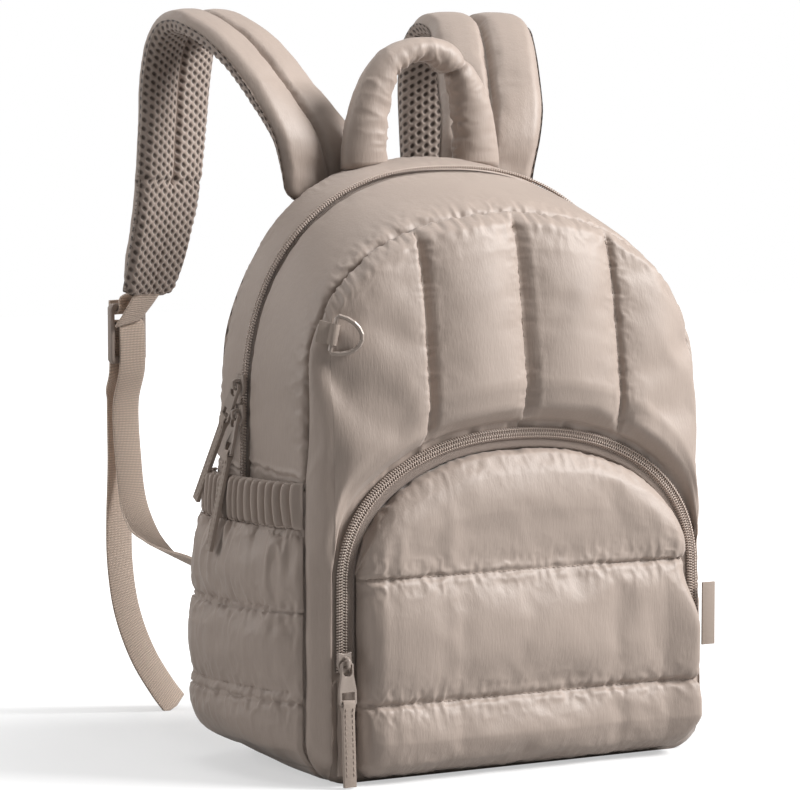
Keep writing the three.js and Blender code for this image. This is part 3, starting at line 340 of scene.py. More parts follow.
def topAt(face, x):
    return face["side"] + face["rise"] * archShare(x / bag["halfWidth"], face["curve"])


def footAt(face, x):
    past = np.maximum(0, np.abs(x) - (bag["halfWidth"] - face["corner"]))
    return face["corner"] - np.sqrt(np.maximum(0, face["corner"] ** 2 - past ** 2))


def archLine(halfWidth, side, rise, curve, share):
    turn = np.pi * np.asarray(share)
    power = 2 / curve
    across = -np.sign(np.cos(turn)) * np.abs(np.cos(turn)) ** power
    return np.stack([halfWidth * across, side + rise * np.maximum(0, np.sin(turn)) ** power], -1)


def upperLine(face, share):
    straight = 0.09
    near = np.minimum(share, 1 - share)
    level = mix(bag["zipEnd"], face["side"], near / straight)
    sides = np.stack([np.where(share < 0.5, -1, 1) * bag["halfWidth"] * np.ones_like(level), level], -1)
    turn = np.clip((share - straight) / (1 - 2 * straight), 0, 1)
    arch = archLine(bag["halfWidth"], face["side"], face["rise"], face["curve"], turn)
    return np.where((near < straight)[..., None], sides, arch)


def lowerLine(face, share):
    half, corner = bag["halfWidth"], face["corner"]
    near = np.minimum(share, 1 - share)
    leg = np.interp(near, [0, 0.25, 0.4, 0.5], [0, 1, 2, 3])
    top = bag["zipEnd"] - bag["gap"]
    x = np.full_like(near, -half)
    z = mix(top, corner, leg)
    z = np.where(near < 0, top - near, z)
    turn = (leg - 1) * np.pi / 2
    bend = (leg > 1) & (leg <= 2)
    x = np.where(bend, -(half - corner) - corner * np.cos(turn), x)
    z = np.where(bend, corner * (1 - np.sin(turn)), z)
    x = np.where(leg > 2, -(half - corner) * (3 - leg), x)
    z = np.where(leg > 2, 0, z)
    return np.stack([np.where(share < 0.5, x, -x), z], -1)


# A point of the gusset, from the front's outline (0) to the back's (1), set in by a depth.
def gussetPoint(line, share, across, depth=0):
    step = 0.002
    across, depth = np.asarray(across, float), np.asarray(depth, float)

    def middle(at):
        return mix(line(frontFace, at), line(backFace, at), across[..., None])

    along = unit(middle(share + step) - middle(share - step))
    turn = 1 if line is upperLine else -1
    outward = np.stack([-along[..., 1], along[..., 0]], -1) * turn
    lift = bag["crown"] * 4 * across * (1 - across) * np.minimum(1, 1 + outward[..., 1])
    point = middle(share)
    y = mix(frontY(point[..., 1]), backY(point[..., 1]), across)
    point = point + outward * (lift - depth)[..., None]
    return np.stack([narrow(point[..., 0], point[..., 1]), y, point[..., 1]], -1)


def zipAcross(share, offset=0):
    z = mix(upperLine(frontFace, share)[..., 1], upperLine(backFace, share)[..., 1], bag["zipShare"])
    return (bag["zipPlane"] + offset - frontY(z)) / (backY(z) - frontY(z))


# Shares that lie evenly along a line.
def evenShares(line, count):
    dense = np.linspace(0, 1, 3001)
    run = runOf(mix(line(frontFace, dense), line(backFace, dense), 0.5))
    return np.interp(np.linspace(0, run[-1], count), run, dense)


# Rolls a piece's edge under at its seam: nothing at a radius away, all of the depth at the seam.
def rollIn(distance, radius, depth):
    share = 1 - np.clip(distance / radius, 0, 1)
    return depth * (1 - np.sqrt(np.maximum(0, 1 - share ** 2)))


# Short ridges that run out of a seam and fade. Their look is a pitch, a reach and a height.
def puckers(along, distance, look, seed):
    pitch, reach, height = look
    spot = np.stack([along / pitch, distance / reach * 0.9], -1)
    ridge = 1 - np.abs(cloudy(spot, 1, seed, 2)) * 2.2
    return np.clip(ridge, -1, 1) * np.exp(-distance / reach) * np.clip(distance / 0.8, 0, 1) * height


# Broad creases of crumpled nylon.
def creases(points, size, seed):
    warp = np.stack([cloudy(points, size * 1.5, seed + k) for k in range(3)], -1)
    fold = np.abs(cloudy(points + warp * size * 0.5, size, seed + 5, 2))
    return 0.5 - np.clip(fold * 2.4, 0, 1)


# Colours and materials

colours = {
    "shell": (0.345, 0.276, 0.234),
    # the tape is darker than the shell: partly its own colour, partly painted shadow under the coil
    "tape": (0.27, 0.212, 0.178),
    "mesh": (0.36, 0.288, 0.245),
    # the webbing is lighter than the shell: partly its own colour, partly painted light that stands in for light from
    # the left and behind
    "webbing": (0.62, 0.49, 0.40),
    "trim": (0.33, 0.265, 0.222),
    "metal": (0.33, 0.272, 0.235),
    "plastic": (0.35, 0.285, 0.245),
    "thread": (0.37, 0.295, 0.25),
    "coil": (0.49, 0.40, 0.345),
}


def socketGroup(name, inputs, outputs):
    group = bpy.data.node_groups.new(name, "ShaderNodeTree")
    for label, kind, value in inputs:
        socket = group.interface.new_socket(label, in_out="INPUT", socket_type=kind)
        if value is not None:
            socket.default_value = value
    for label, kind in outputs:
        group.interface.new_socket(label, in_out="OUTPUT", socket_type=kind)
    start = group.nodes.new("NodeGroupInput")
    end = group.nodes.new("NodeGroupOutput")
    return group, start, end


def node(tree, kind, inputs=(), **settings):
    made = tree.nodes.new("ShaderNode" + kind)
    for key, value in settings.items():
        setattr(made, key, value)
    for key, value in dict(inputs).items():
        if isinstance(value, bpy.types.NodeSocket):
            tree.links.new(value, made.inputs[key])
        else:
            made.inputs[key].default_value = value
    return made


def maths(tree, kind, *values):
    return node(tree, "Math", {k: v for k, v in enumerate(values)}, operation=kind).outputs[0]


# Fine crinkled grain of the nylon, stretched up the cloth, with soft mottling.
def grainGroup():
    group, start, end = socketGroup(
        "nylonGrain",
        [("Place", "NodeSocketVector", None), ("Fine", "NodeSocketFloat", 1.0)],
        [("Height", "NodeSocketFloat"), ("Shade", "NodeSocketFloat")],
    )
    stretched = node(group, "Mapping", {"Vector": start.outputs["Place"], "Scale": (900, 900, 130)})
    grain = node(group, "TexNoise", {"Vector": stretched.outputs[0], "Scale": 1.0, "Detail": 3.0, "Roughness": 0.6})
    crumple = node(group, "TexNoise", {"Vector": start.outputs["Place"], "Scale": 160.0, "Detail": 4.0, "Roughness": 0.55})
    broad = node(group, "TexNoise", {"Vector": start.outputs["Place"], "Scale": 38.0, "Detail": 2.0})
    fine = maths(group, "MULTIPLY", grain.outputs[0], start.outputs["Fine"])
    height = maths(group, "MULTIPLY_ADD", crumple.outputs[0], 0.5, fine)
    shade = maths(group, "MULTIPLY_ADD", grain.outputs[0], 0.5, maths(group, "MULTIPLY", broad.outputs[0], 0.5))
    group.links.new(height, end.inputs["Height"])
    group.links.new(shade, end.inputs["Shade"])
    return group


# A woven band: crossing threads from two waves of the cloth's own coordinates. Its shade is its height, so the colour
# darkens in the low gaps between threads: painted shade.
def weaveGroup():
    group, start, end = socketGroup(
        "weave",
        [("Place", "NodeSocketVector", None), ("Along", "NodeSocketFloat", 100.0), ("Across", "NodeSocketFloat", 100.0)],
        [("Height", "NodeSocketFloat"), ("Shade", "NodeSocketFloat")],
    )
    split = node(group, "SeparateXYZ", {0: start.outputs["Place"]})
    warp = maths(group, "SINE", maths(group, "MULTIPLY", split.outputs[0], start.outputs["Along"]))
    weft = maths(group, "SINE", maths(group, "MULTIPLY", split.outputs[1], start.outputs["Across"]))
    height = maths(group, "MULTIPLY", maths(group, "ABSOLUTE", warp), maths(group, "ABSOLUTE", weft))
    group.links.new(height, end.inputs["Height"])
    group.links.new(height, end.inputs["Shade"])
    return group


# Staggered oval holes of an air mesh, with knitted ribs between them. Its mask paints the holes dark: painted shade
# inside them.
def holesGroup():
    group, start, end = socketGroup(
        "airHoles",
        [
            ("Place", "NodeSocketVector", None), ("Long", "NodeSocketFloat", airMesh["long"]),
            ("Wide", "NodeSocketFloat", airMesh["wide"]),
        ],
        [("Mask", "NodeSocketFloat"), ("Height", "NodeSocketFloat")],
    )
    split = node(group, "SeparateXYZ", {0: start.outputs["Place"]})
    s = maths(group, "MULTIPLY", split.outputs[0], 100.0)
    t = maths(group, "MULTIPLY", split.outputs[1], 100.0)
    column = maths(group, "ROUND", maths(group, "DIVIDE", t, start.outputs["Wide"]))
    side = maths(group, "SUBTRACT", t, maths(group, "MULTIPLY", column, start.outputs["Wide"]))
    parity = maths(group, "FLOORED_MODULO", column, 2.0)
    place = maths(group, "MULTIPLY_ADD", parity, 0.5, maths(group, "DIVIDE", s, start.outputs["Long"]))
    near = maths(group, "SUBTRACT", place, maths(group, "ROUND", place))
    along = maths(group, "MULTIPLY", near, start.outputs["Long"])
    lean = maths(group, "MULTIPLY_ADD", along, airMesh["lean"], side)
    powers = []
    for way, size in ((lean, "holeWide"), (along, "holeLong")):
        off = maths(group, "ABSOLUTE", maths(group, "DIVIDE", way, airMesh[size] / 2))
        powers.append(maths(group, "POWER", off, airMesh["oval"]))
    radius = maths(group, "POWER", maths(group, "ADD", *powers), 1 / airMesh["oval"])
    hole = node(group, "MapRange", {"Value": radius, "From Min": 1.3, "From Max": 0.45}, interpolation_type="SMOOTHSTEP")
    rib = maths(group, "SINE", maths(group, "MULTIPLY", maths(group, "MULTIPLY_ADD", t, 0.7, s), 5.0))
    height = maths(group, "MULTIPLY_ADD", rib, 0.12, maths(group, "SUBTRACT", 1.0, hole.outputs[0]))
    group.links.new(hole.outputs[0], end.inputs["Mask"])
    group.links.new(height, end.inputs["Height"])
    return group


airMesh = {
    "long": 5.4, "wide": 4.3, "holeLong": 3.5, "holeWide": 3.4, "oval": 1.6, "lean": 0.35,
    # the holes' colour: painted shade inside them
    "paintedHoleShade": (0.085, 0.062, 0.05),
}
groups = {"grain": grainGroup(), "weave": weaveGroup(), "holes": holesGroup()}


def startMaterial(name, colour, roughness, sheen=0.0, metallic=0.0):
    material = bpy.data.materials.new(name)
    material.use_nodes = True
    tree = material.node_tree
    shader = tree.nodes["Principled BSDF"]
    shader.inputs["Base Color"].default_value = (*colour, 1)
    shader.inputs["Roughness"].default_value = roughness
    shader.inputs["Metallic"].default_value = metallic
    if sheen:
        shader.inputs["Sheen Weight"].default_value = sheen
        shader.inputs["Sheen Roughness"].default_value = 0.45
    return material, tree, shader


def grouped(tree, kind, **inputs):
    return node(tree, "Group", inputs, node_tree=groups[kind])


# Sockets of a Mix node share names, so its colours are set by place.
def blended(tree, shader, share, low, high):
    mixed = node(tree, "Mix", {0: share, 6: (*low, 1), 7: (*high, 1)}, data_type="RGBA")
    tree.links.new(mixed.outputs[2], shader.inputs["Base Color"])


def tinted(tree, shader, shade, colour, spread):
    share = node(tree, "MapRange", {"Value": shade, "From Min": 0.25, "From Max": 0.75}).outputs[0]
    low, high = ([min(1, c * (1 + way * spread)) for c in colour] for way in (-1, 1))
    blended(tree, shader, share, low, high)


def bumped(tree, shader, height, strength, distance):
    bump = node(tree, "Bump", {"Height": height, "Strength": strength, "Distance": distance})
    tree.links.new(bump.outputs[0], shader.inputs["Normal"])


def shellMaterial():
    material, tree, shader = startMaterial("nylonShell", colours["shell"], 0.55, sheen=0.14)
    place = node(tree, "TexCoord").outputs["Object"]
    grain = grouped(tree, "grain", Place=place)
    tinted(tree, shader, grain.outputs["Shade"], colours["shell"], 0.07)
    bumped(tree, shader, grain.outputs["Height"], 0.26, 0.0006)
    return material


def wovenMaterial(name, colour, along, across, strength=0.6, spread=0.12, roughness=0.8):
    material, tree, shader = startMaterial(name, colour, roughness, sheen=0.15)
    place = node(tree, "UVMap", uv_map="cloth").outputs[0]
    weave = grouped(tree, "weave", Place=place, Along=along, Across=across)
    # the colour follows the weave's height: painted shade in the gaps between threads
    tinted(tree, shader, weave.outputs["Shade"], colour, spread)
    bumped(tree, shader, weave.outputs["Height"], strength, 0.0004)
    return material


def meshMaterial():
    material, tree, shader = startMaterial("airMesh", colours["mesh"], 0.75, sheen=0.2)
    place = node(tree, "UVMap", uv_map="cloth").outputs[0]
    holes = grouped(tree, "holes", Place=place)
    # the holes take a dark colour: painted shade inside them
    blended(tree, shader, holes.outputs["Mask"], colours["mesh"], airMesh["paintedHoleShade"])
    bumped(tree, shader, holes.outputs["Height"], 0.7, 0.0008)
    return material


def hardMaterial(name, colour, roughness, metallic=0.0):
    material, tree, shader = startMaterial(name, colour, roughness, metallic=metallic)
    place = node(tree, "TexCoord").outputs["Object"]
    speck = node(tree, "TexNoise", {"Vector": place, "Scale": 900.0, "Detail": 3.0})
    tinted(tree, shader, speck.outputs[0], colour, 0.04)
    bumped(tree, shader, speck.outputs[0], 0.08, 0.0002)
    return material


finishes = {
    "shell": shellMaterial(),
    "tape": wovenMaterial("zipTape", colours["tape"], 900, 900),
    "coil": hardMaterial("nylonCoil", colours["coil"], 0.42),
    "webbing": wovenMaterial("bandWeave", colours["webbing"], 200, 225, 0.7, 0.2),
    "trim": wovenMaterial("trimWeave", colours["trim"], 420, 420, 0.3, 0.06),
    "mesh": meshMaterial(),
    "metal": hardMaterial("taupeEnamel", colours["metal"], 0.38, 0.15),
    "plastic": hardMaterial("taupeAcetal", colours["plastic"], 0.45),
    "thread": hardMaterial("sewingThread", colours["thread"], 0.7),
}


floorGap = 0.2


def dress(thing, finish, body, *nodes, slot=None, padded=None):
    thing.data.materials.clear()
    thing.data.materials.append(finishes[finish])
    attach(thing, body)
    if nodes:
        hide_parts(*nodes)
    return thing


# A closed piece of cloth from a coarse grid: refined, raised by its relief, and kept off the floor.
def finishGrid(name, coarse, times, inward, thickness, relief=None, inner=None):
    fine = refine(coarse, times)
    s, t = gridLengths(fine)
    way = gridNormals(fine, refine(inward, times))
    if relief is not None:
        fine = fine + way * relief(fine, s, t)[..., None]
    if inner is None:
        inner = coarse - gridNormals(coarse, inward) * thickness
    for part in (fine, inner):
        part[..., 2] = np.maximum(part[..., 2], floorGap)
    return shell(name, fine, inner, np.stack([s, t], -1))


# Stitches as short lengths of thread, half sunk in a seam

stitchLook = {"pitch": 3.3, "length": 2.3, "radius": 0.26, "lift": 0.12, "sides": 5, "start": 1.5, "stop": 1}


# Short rods with tapered ends.
def capsules(starts, ends, radius, ups):
    sides = stitchLook["sides"]
    way = unit(ends - starts)
    side = unit(np.cross(way, ups))
    top = np.cross(side, way)
    shares, radii = np.array([0, 0.2, 0.8, 1]), np.array([0.35, 1, 1, 0.35]) * radius
    turn = np.linspace(0, 2 * np.pi, sides, endpoint=False)
    middles = starts[:, None] + (ends - starts)[:, None] * shares[None, :, None]
    spokes = np.cos(turn)[None, :, None] * side[:, None] + np.sin(turn)[None, :, None] * top[:, None]
    points = middles[:, :, None] + spokes[:, None] * radii[None, :, None, None]
    rings = len(shares)
    one = [[r * sides + k, r * sides + (k + 1) % sides, (r + 1) * sides + (k + 1) % sides, (r + 1) * sides + k]
           for r in range(rings - 1) for k in range(sides)]
    one += [list(range(sides))[::-1], [(rings - 1) * sides + k for k in range(sides)]]
    faces = [[v + n * rings * sides for v in face] for n in range(len(starts)) for face in one]
    return points.reshape(-1, 3), faces


def joinedCapsules(name, runs, radius):
    points, faces, base = [], [], 0
    for starts, ends, ups in runs:
        spots, cells = capsules(starts, ends, radius, ups)
        points.append(spots)
        faces += [[v + base for v in cell] for cell in cells]
        base += len(spots)
    return makeMesh(name, np.concatenate(points), faces)


def alongLine(line, places, *others):
    run = runOf(line)
    return [np.stack([np.interp(places, run, table[:, k]) for k in range(3)], -1) for table in (line, *others)]


def addStitches(name, line, out, body="bag", slot="shell"):
    last = runOf(line)[-1] - stitchLook["length"] - stitchLook["stop"]
    places = np.arange(stitchLook["start"], last, stitchLook["pitch"])
    starts, ups = alongLine(line, places, out)
    ends, _ = alongLine(line, places + stitchLook["length"], out)
    up = unit(ups) * stitchLook["lift"]
    thing = joinedCapsules(name, [(starts + up, ends + up, unit(ups))], stitchLook["radius"])
    return dress(thing, "thread", body, slot=slot)


# Stitches along one row or column of a grid.
def stitchGrid(name, grid, inward, part):
    addStitches(name, grid[part], gridNormals(grid, inward)[part])


# The gusset

# a pucker is its pitch, its reach and its height
bandLook = {
    "roll": 4.0, "rollDepth": 2.4, "slit": 2.2, "slitWidth": 0.8, "fill": 0.6, "zipEdge": 2.4, "wallShare": 0.6,
    "creaseSize": 34, "creaseHeight": 0.4, "pucker": (6, 8, 0.95),
    "cloth": {"pressure": 0.2, "growth": 0.004, "frames": 10, "cap": 2},
}
# where the side's two cloths join, just above the pocket's elastic
joinLook = {
    "level": 170, "climb": 5.5, "wander": 0.8, "slit": 1.5, "slitWidth": 0.8, "lip": 0.8, "lipAt": 2, "lipWidth": 1.3,
    "pucker": (5, 4, 0.5),
}


# Shares from 0 to 1 that gather at both ends.
def gathered(count, amount=0.7):
    plain = np.linspace(0, 1, count)
    return mix(plain, 0.5 - 0.5 * np.cos(np.pi * plain), amount)


def bandRelief(seed, seams, joined):
    def relief(points, s, t):
        width = t[0, -1]
        height = cloudy(points, bandLook["creaseSize"], seed, 2) * bandLook["creaseHeight"]
        for distance, amount in zip((t, width - t), seams):
            height = height + puckers(s, distance, bandLook["pucker"], seed + 3) * amount
        if joined:
            wander = cloudy(np.stack([t / 5, t * 0], -1), 1, 43) * joinLook["wander"]
            over = points[..., 2] - (joinLook["level"] + joinLook["climb"] * t / width + wander)
            height = height - joinLook["slit"] * bell(over, joinLook["slitWidth"])
            height = height + joinLook["lip"] * bell(over - joinLook["lipAt"], joinLook["lipWidth"])
            height = height + puckers(t, np.abs(over), joinLook["pucker"], 47)
        return height
    return relief


# One band between two lines across the gusset, with its seams' weight at each edge.
def addBand(name, line, fromAcross, toAcross, count, steps, seed, seams, times=3):
    share = evenShares(line, count)[:, None] * np.ones((1, steps))
    k = gathered(steps)[None, :] * np.ones((count, 1))
    across = mix(fromAcross(share), toAcross(share), k)
    _, t = gridLengths(gussetPoint(line, share, across))
    roll = 0
    for distance, amount in zip((t, t[0, -1] - t), seams):
        roll = roll + rollIn(distance, bandLook["roll"], bandLook["rollDepth"] * amount)
        roll = roll + bandLook["slit"] * amount * bell(distance, bandLook["slitWidth"])
    grid = gussetPoint(line, share, across, roll - bandLook["fill"] * np.sin(np.pi * k))
    inward = gussetPoint(line, share, across, 10) - grid
    grid = settle(grid, edgePins(grid), inward, **bandLook["cloth"])
    relief = bandRelief(seed, seams, line is upperLine)
    band = finishGrid(name + "Cloth", grid, times, inward, bag["wall"] * bandLook["wallShare"], relief)
    return dress(band, "shell", "bag", name, padded=0.5)


def zipSide(sign):
    offset = sign * (bag["zipWidth"] / 2 + bag["gap"] - bandLook["zipEdge"])
    return lambda share: zipAcross(share, offset)


def outlineOf(value):
    return lambda share: share * 0 + value


print("gusset")
addBand("front_band", upperLine, outlineOf(0), zipSide(-1), 156, 21, 11, (1, 0.25))
addBand("rear_band", upperLine, zipSide(1), outlineOf(1), 156, 15, 23, (0.25, 1))
addBand("lower_band", lowerLine, outlineOf(0), outlineOf(1), 160, 27, 37, (1, 1), 2)


# The quilted front. Its fold line runs clear of the pocket by a gap, the zip's tape and the fold itself.

quilt = {
    "shift": 3, "foldHalf": 110 + 0.3 + 12 + 1.6, "foldRise": 71 + 0.3 + 12 + 1.6, "foldSide": 112, "foldCurve": 2.2,
    "fold": 3.5, "seam": 0.53, "fullness": 18, "puff": 8, "leftCrest": 0.6, "recess": 11, "thickness": 1.6,
    "strip": 10.5, "stripCurve": 1.1, "stripFoot": 6, "flank": 1.5, "flankAt": -0.9, "flankWidth": 0.13,
    "rimRoll": 3.5, "bulgeRoll": 9, "inset": 1.6, "insetReach": 4, "slit": 1.2, "slitWidth": 0.8,
    "columns": 80, "edgeColumns": 8, "groundRows": 12, "rows": 46,
    "creaseSize": 26, "creaseHeight": 0.35, "seamPucker": (5, 4.5, 0.8), "topPucker": (6, 9, 1.1),
    "cloth": {"pressure": 0.7, "growth": 0.008, "frames": 12, "cap": 3},
}
quiltSeams = (0, quilt["seam"], -quilt["seam"])
frontFullness = [
    (0, 1), (0.53, 1), (0.66, 0.92), (0.78, 0.78), (0.885, 0.6), (0.955, 0.46), (1, 0.38), (1.05, 0.3), (1.1, 0),
]
upFullness = [(0, 0.68), (0.06, 0.8), (0.2, 1), (0.42, 0.85), (0.64, 0.66), (0.82, 0.45), (0.94, 0.22), (1, 0)]


def foldTop(x):
    share = (x - quilt["shift"]) / quilt["foldHalf"]
    return quilt["foldSide"] + quilt["foldRise"] * archShare(share, quilt["foldCurve"])


# The section of a padded channel between two seams.
def channel(share, sharp=0.5):
    share = np.clip(share, 0, 1)
    return (4 * share * (1 - share)) ** sharp


def frontPuff(x):
    off = (x - quilt["shift"]) / quilt["foldHalf"]
    seam, edge = quilt["seam"], bag["halfWidth"] / quilt["foldHalf"]
    near = np.abs(off)
    outer = np.clip((near - seam) / (edge + 0.02 - seam), 0, 1)
    outer = np.where(off < 0, outer ** quilt["leftCrest"], outer)
    return np.where(near < seam, channel(near / seam), channel(outer, 0.55))


# The way out of the bag's outline at a point of a face.
def outlineWay(face, x, z):
    lean = face["curve"] - 1
    high = np.clip((z - face["side"]) / face["rise"], 0, 1)
    across = np.sign(x) * np.abs(x / bag["halfWidth"]) ** lean / bag["halfWidth"]
    return unit(np.stack([across, high ** lean / face["rise"]], -1))


def addFrontPanel():
    half, fold, shift = bag["halfWidth"], quilt["foldHalf"], quilt["shift"]
    left, right = shift - fold, shift + fold
    arch = archLine(fold, quilt["foldSide"], quilt["foldRise"], quilt["foldCurve"], np.linspace(0, 1, 2001))
    run = runOf(arch)
    inner = np.interp(np.linspace(0, run[-1], quilt["columns"]), run, arch[:, 0]) + shift
    edge = gathered(quilt["edgeColumns"])
    xs = np.concatenate([mix(-half, left, edge)[:-1], inner, mix(right, half, edge)[1:]])
    # each quilt seam takes the column nearest to it
    columns = []
    for seam in quiltSeams:
        columns.append(np.argmin(np.abs(xs - (shift + seam * fold))))
        xs[columns[-1]] = shift + seam * fold
    foot, top = footAt(frontFace, xs)[:, None], topAt(frontFace, xs)[:, None]
    past = ((xs < left - 0.01) | (xs > right + 0.01))[:, None]
    low = np.where(past, quilt["foldSide"], foldTop(xs)[:, None])
    below = np.linspace(0, 1, quilt["groundRows"])[:-1]
    up = np.linspace(0, 1, quilt["rows"])
    up = mix(up ** 1.15, np.sin(up * np.pi / 2), 0.55)
    z = np.concatenate([mix(foot, low, below[None]), mix(low, top, up[None])], 1)
    x = xs[:, None] * np.ones_like(z)
    up = np.concatenate([np.zeros(len(below)), up])[None] * np.ones_like(z)
    lower = (np.arange(z.shape[1]) < len(below))[None]

    off = (x - shift) / fold
    full = smoothTable(frontFullness, np.abs(off), 0.03) * smoothTable(upFullness, up, 0.02)
    rise = smoothStep(0, 0.1, up) * (1 - smoothStep(0.9, 1, up) ** 2)
    bulge = quilt["fullness"] * full + quilt["puff"] * frontPuff(x) * rise
    flank = quilt["flank"] * bell(off - quilt["flankAt"], quilt["flankWidth"])
    bulge = bulge + flank * smoothStep(0, 0.25, up) * (1 - smoothStep(0.5, 0.74, up))
    # beyond the fold line the cloth turns up from the recess in a quarter circle
    ground = quilt["recess"] - bag["rim"]
    legs = np.stack([np.full(200, left), np.linspace(0, quilt["foldSide"], 200)], -1)
    line = np.concatenate([legs, arch[::8] + (shift, 0), legs + (right - left, 0)])
    beyond = np.min(np.hypot(x[..., None] - line[:, 0], z[..., None] - line[:, 1]), -1)
    ramp = np.sqrt(1 - (1 - np.clip(beyond / quilt["fold"], 0, 1)) ** 2)
    edge = np.where(x < 0, left - x, x - right) / np.where(x < 0, left + half, half - right)
    strip = quilt["strip"] * (1 - np.clip(edge, 0, 1) ** quilt["stripCurve"])
    strip = strip * np.minimum(1, np.clip((z - foot) / quilt["stripFoot"], 0, 1) ** 0.5)
    bulge = np.where(past, mix(strip, bulge, smoothStep(0, 0.25, up)), bulge)
    start = np.where(past, np.minimum(ground, strip), ground)
    bulge = np.where(~past & lower, ground, mix(start, bulge, ramp))
    # the rim rolls in to the seam all round, and the outline draws in, so that the seam is a slit
    away = np.minimum(half - np.abs(x), top - z)
    away = np.maximum(np.where(lower, np.minimum(away, z - foot + 1), away), 0)
    rim = bag["rim"] * (1 - rollIn(away, quilt["rimRoll"], 1))
    bulge = bulge * (1 - rollIn(away, quilt["bulgeRoll"], 1))
    draw = quilt["inset"] * (0.3 + 0.7 * smoothStep(165, 195, z))
    draw = draw * (np.clip(1 - away / quilt["insetReach"], 0, 1) ** 2 + quilt["slit"] * bell(away, quilt["slitWidth"]))
    out = outlineWay(frontFace, x, z)
    y = frontY(z) - bag["gap"] - rim - bulge
    grid = np.stack([narrow(x - draw * out[..., 0], z), y, z - draw * out[..., 1]], -1)

    inward = facing(grid, 1, 1)
    pins = edgePins(grid)
    pins[:, :len(below) + 1] = 1
    pins[columns] = 1
    grid = settle(grid, pins, inward, **quilt["cloth"])

    def relief(points, s, t):
        x, z = points[..., 0], points[..., 2]
        height = cloudy(points, quilt["creaseSize"], 51, 2) * quilt["creaseHeight"]
        for seam in quiltSeams:
            distance = np.abs(x - narrow(shift + seam * fold, z))
            height = height + puckers(z, distance, quilt["seamPucker"], 61 + int(seam * 10))
        toTop = np.maximum(0, topAt(frontFace, x * 1.01) - z)
        height = height + puckers(s, toTop, quilt["topPucker"], 71)
        return height * np.where((z > foldTop(x) - 2) | (np.abs(x - shift) > fold), 1, 0)

    panel = finishGrid("front_panelCloth", grid, 3, inward, quilt["thickness"], relief)
    for k, column in enumerate(columns):
        stitchGrid(f"quiltStitches{k}", grid, inward, np.s_[column, len(below) + 1:-1])
    return dress(panel, "shell", "bag", "front_panel", padded=0.8)


print("front")
addFrontPanel()


# The front pocket

pocket = {
    "halfWidth": 110, "side": 112, "rise": 71, "curve": 2.2, "foot": 3, "corner": 12, "fullness": 11, "puff": 6,
    "seams": (0.4, 1.03), "rows": (16, 24, 30), "columns": 80, "gather": 0.86, "rimRoll": 4, "thickness": 1.6,
    "overhang": 9, "overhangFrom": 0.8, "creaseSize": 22, "creaseHeight": 0.4,
    "seamPucker": (6, 7, 0.8), "edgePucker": (6, 9, 1.0),
    "cloth": {"pressure": 0.7, "growth": 0.008, "frames": 12, "cap": 3},
}
pocketAcross = [
    (-1, 0), (-0.965, 0.5), (-0.9, 0.78), (-0.8, 0.9), (-0.5, 0.98), (0.5, 1), (0.8, 1.08), (0.9, 1.06), (0.965, 0.8),
    (1, 0.1),
]
# fullness up each of its three quilted rows
pocketUp = [
    [(0, 0), (0.2, 0.6), (0.5, 0.9), (1, 0.95)], [(0, 0.95), (1, 0.9)], [(0, 0.9), (0.5, 0.8), (0.8, 0.5), (1, 0)],
]


# Depth of the ground that the pocket and its zip lie on.
def groundY(z):
    return frontY(z) - bag["gap"] - quilt["recess"]


# Shares from -1 to 1 that gather at both ends.
def gatheredWide(count, amount):
    return np.sin(np.linspace(-1, 1, count) * np.pi / 2 * amount) / np.sin(np.pi / 2 * amount)


def addPocket():
    half = pocket["halfWidth"]
    share = gatheredWide(pocket["columns"], pocket["gather"]) * 0.998
    xs = share * half
    past = np.maximum(0, np.abs(xs) - (half - pocket["corner"]))
    foot = pocket["foot"] + pocket["corner"] - np.sqrt(pocket["corner"] ** 2 - past ** 2)
    top = pocket["side"] + pocket["rise"] * archShare(share, pocket["curve"])
    levels = [foot, *[xs * 0 + pocket["side"] * seam for seam in pocket["seams"]], top]
    z, puff, full, seamRows = [], [], [], [0]
    for k, (low, high) in enumerate(zip(levels, levels[1:])):
        up = np.linspace(0, 1, pocket["rows"][k] + 1)[(1 if k else 0):]
        z.append(mix(low[:, None], high[:, None], up[None]))
        puff.append(channel(up))
        full.append(smoothTable(pocketUp[k], up, 0.04))
        seamRows.append(sum(map(len, puff)) - 1)
    z, puff, full = np.concatenate(z, 1), np.concatenate(puff)[None], np.concatenate(full)[None]
    side = smoothTable(pocketAcross, share, 0.015)[:, None]
    bulge = pocket["fullness"] * side * full + pocket["puff"] * puff * side ** 0.7
    x = xs[:, None] * np.ones_like(z)
    away = np.minimum(np.minimum(half - np.abs(x), top[:, None] - z), z - foot[:, None])
    rim = bag["rim"] * (1 - rollIn(np.maximum(away, 0), pocket["rimRoll"], 1))
    # the right side hangs over its zip
    over = np.clip((share - pocket["overhangFrom"]) / (1 - pocket["overhangFrom"]), 0, 1)
    over = pocket["overhang"] * np.sin(np.pi * over)[:, None] * (1 - smoothStep(75, 112, z)) * smoothStep(3, 25, z)
    y = groundY(z) - bag["gap"] - rim - bulge - over * 0.5
    grid = np.stack([narrow(x + quilt["shift"] + over, z), y, z], -1)
    inward = facing(grid, 1, 1)
    pins = edgePins(grid)
    pins[:, seamRows] = 1
    grid = settle(grid, pins, inward, **pocket["cloth"])

    def relief(points, s, t):
        height = cloudy(points, pocket["creaseSize"], 81, 2) * pocket["creaseHeight"]
        for level in pocket["seams"]:
            distance = np.abs(points[..., 2] - pocket["side"] * level)
            height = height + puckers(points[..., 0], distance, pocket["seamPucker"], 83 + int(level * 10))
        return height + puckers(points[..., 0], np.minimum(t, t[0, -1] - t), pocket["edgePucker"], 91)

    cloth = finishGrid("front_pocketCloth", grid, 3, inward, pocket["thickness"], relief)
    for k in (1, 2):
        stitchGrid(f"pocketStitches{k}", grid, inward, np.s_[3:-3, seamRows[k]])
    return dress(cloth, "shell", "bag", "front_pocket", padded=0.7)


print("pocket")
addPocket()


# Side pockets and their elastic tops

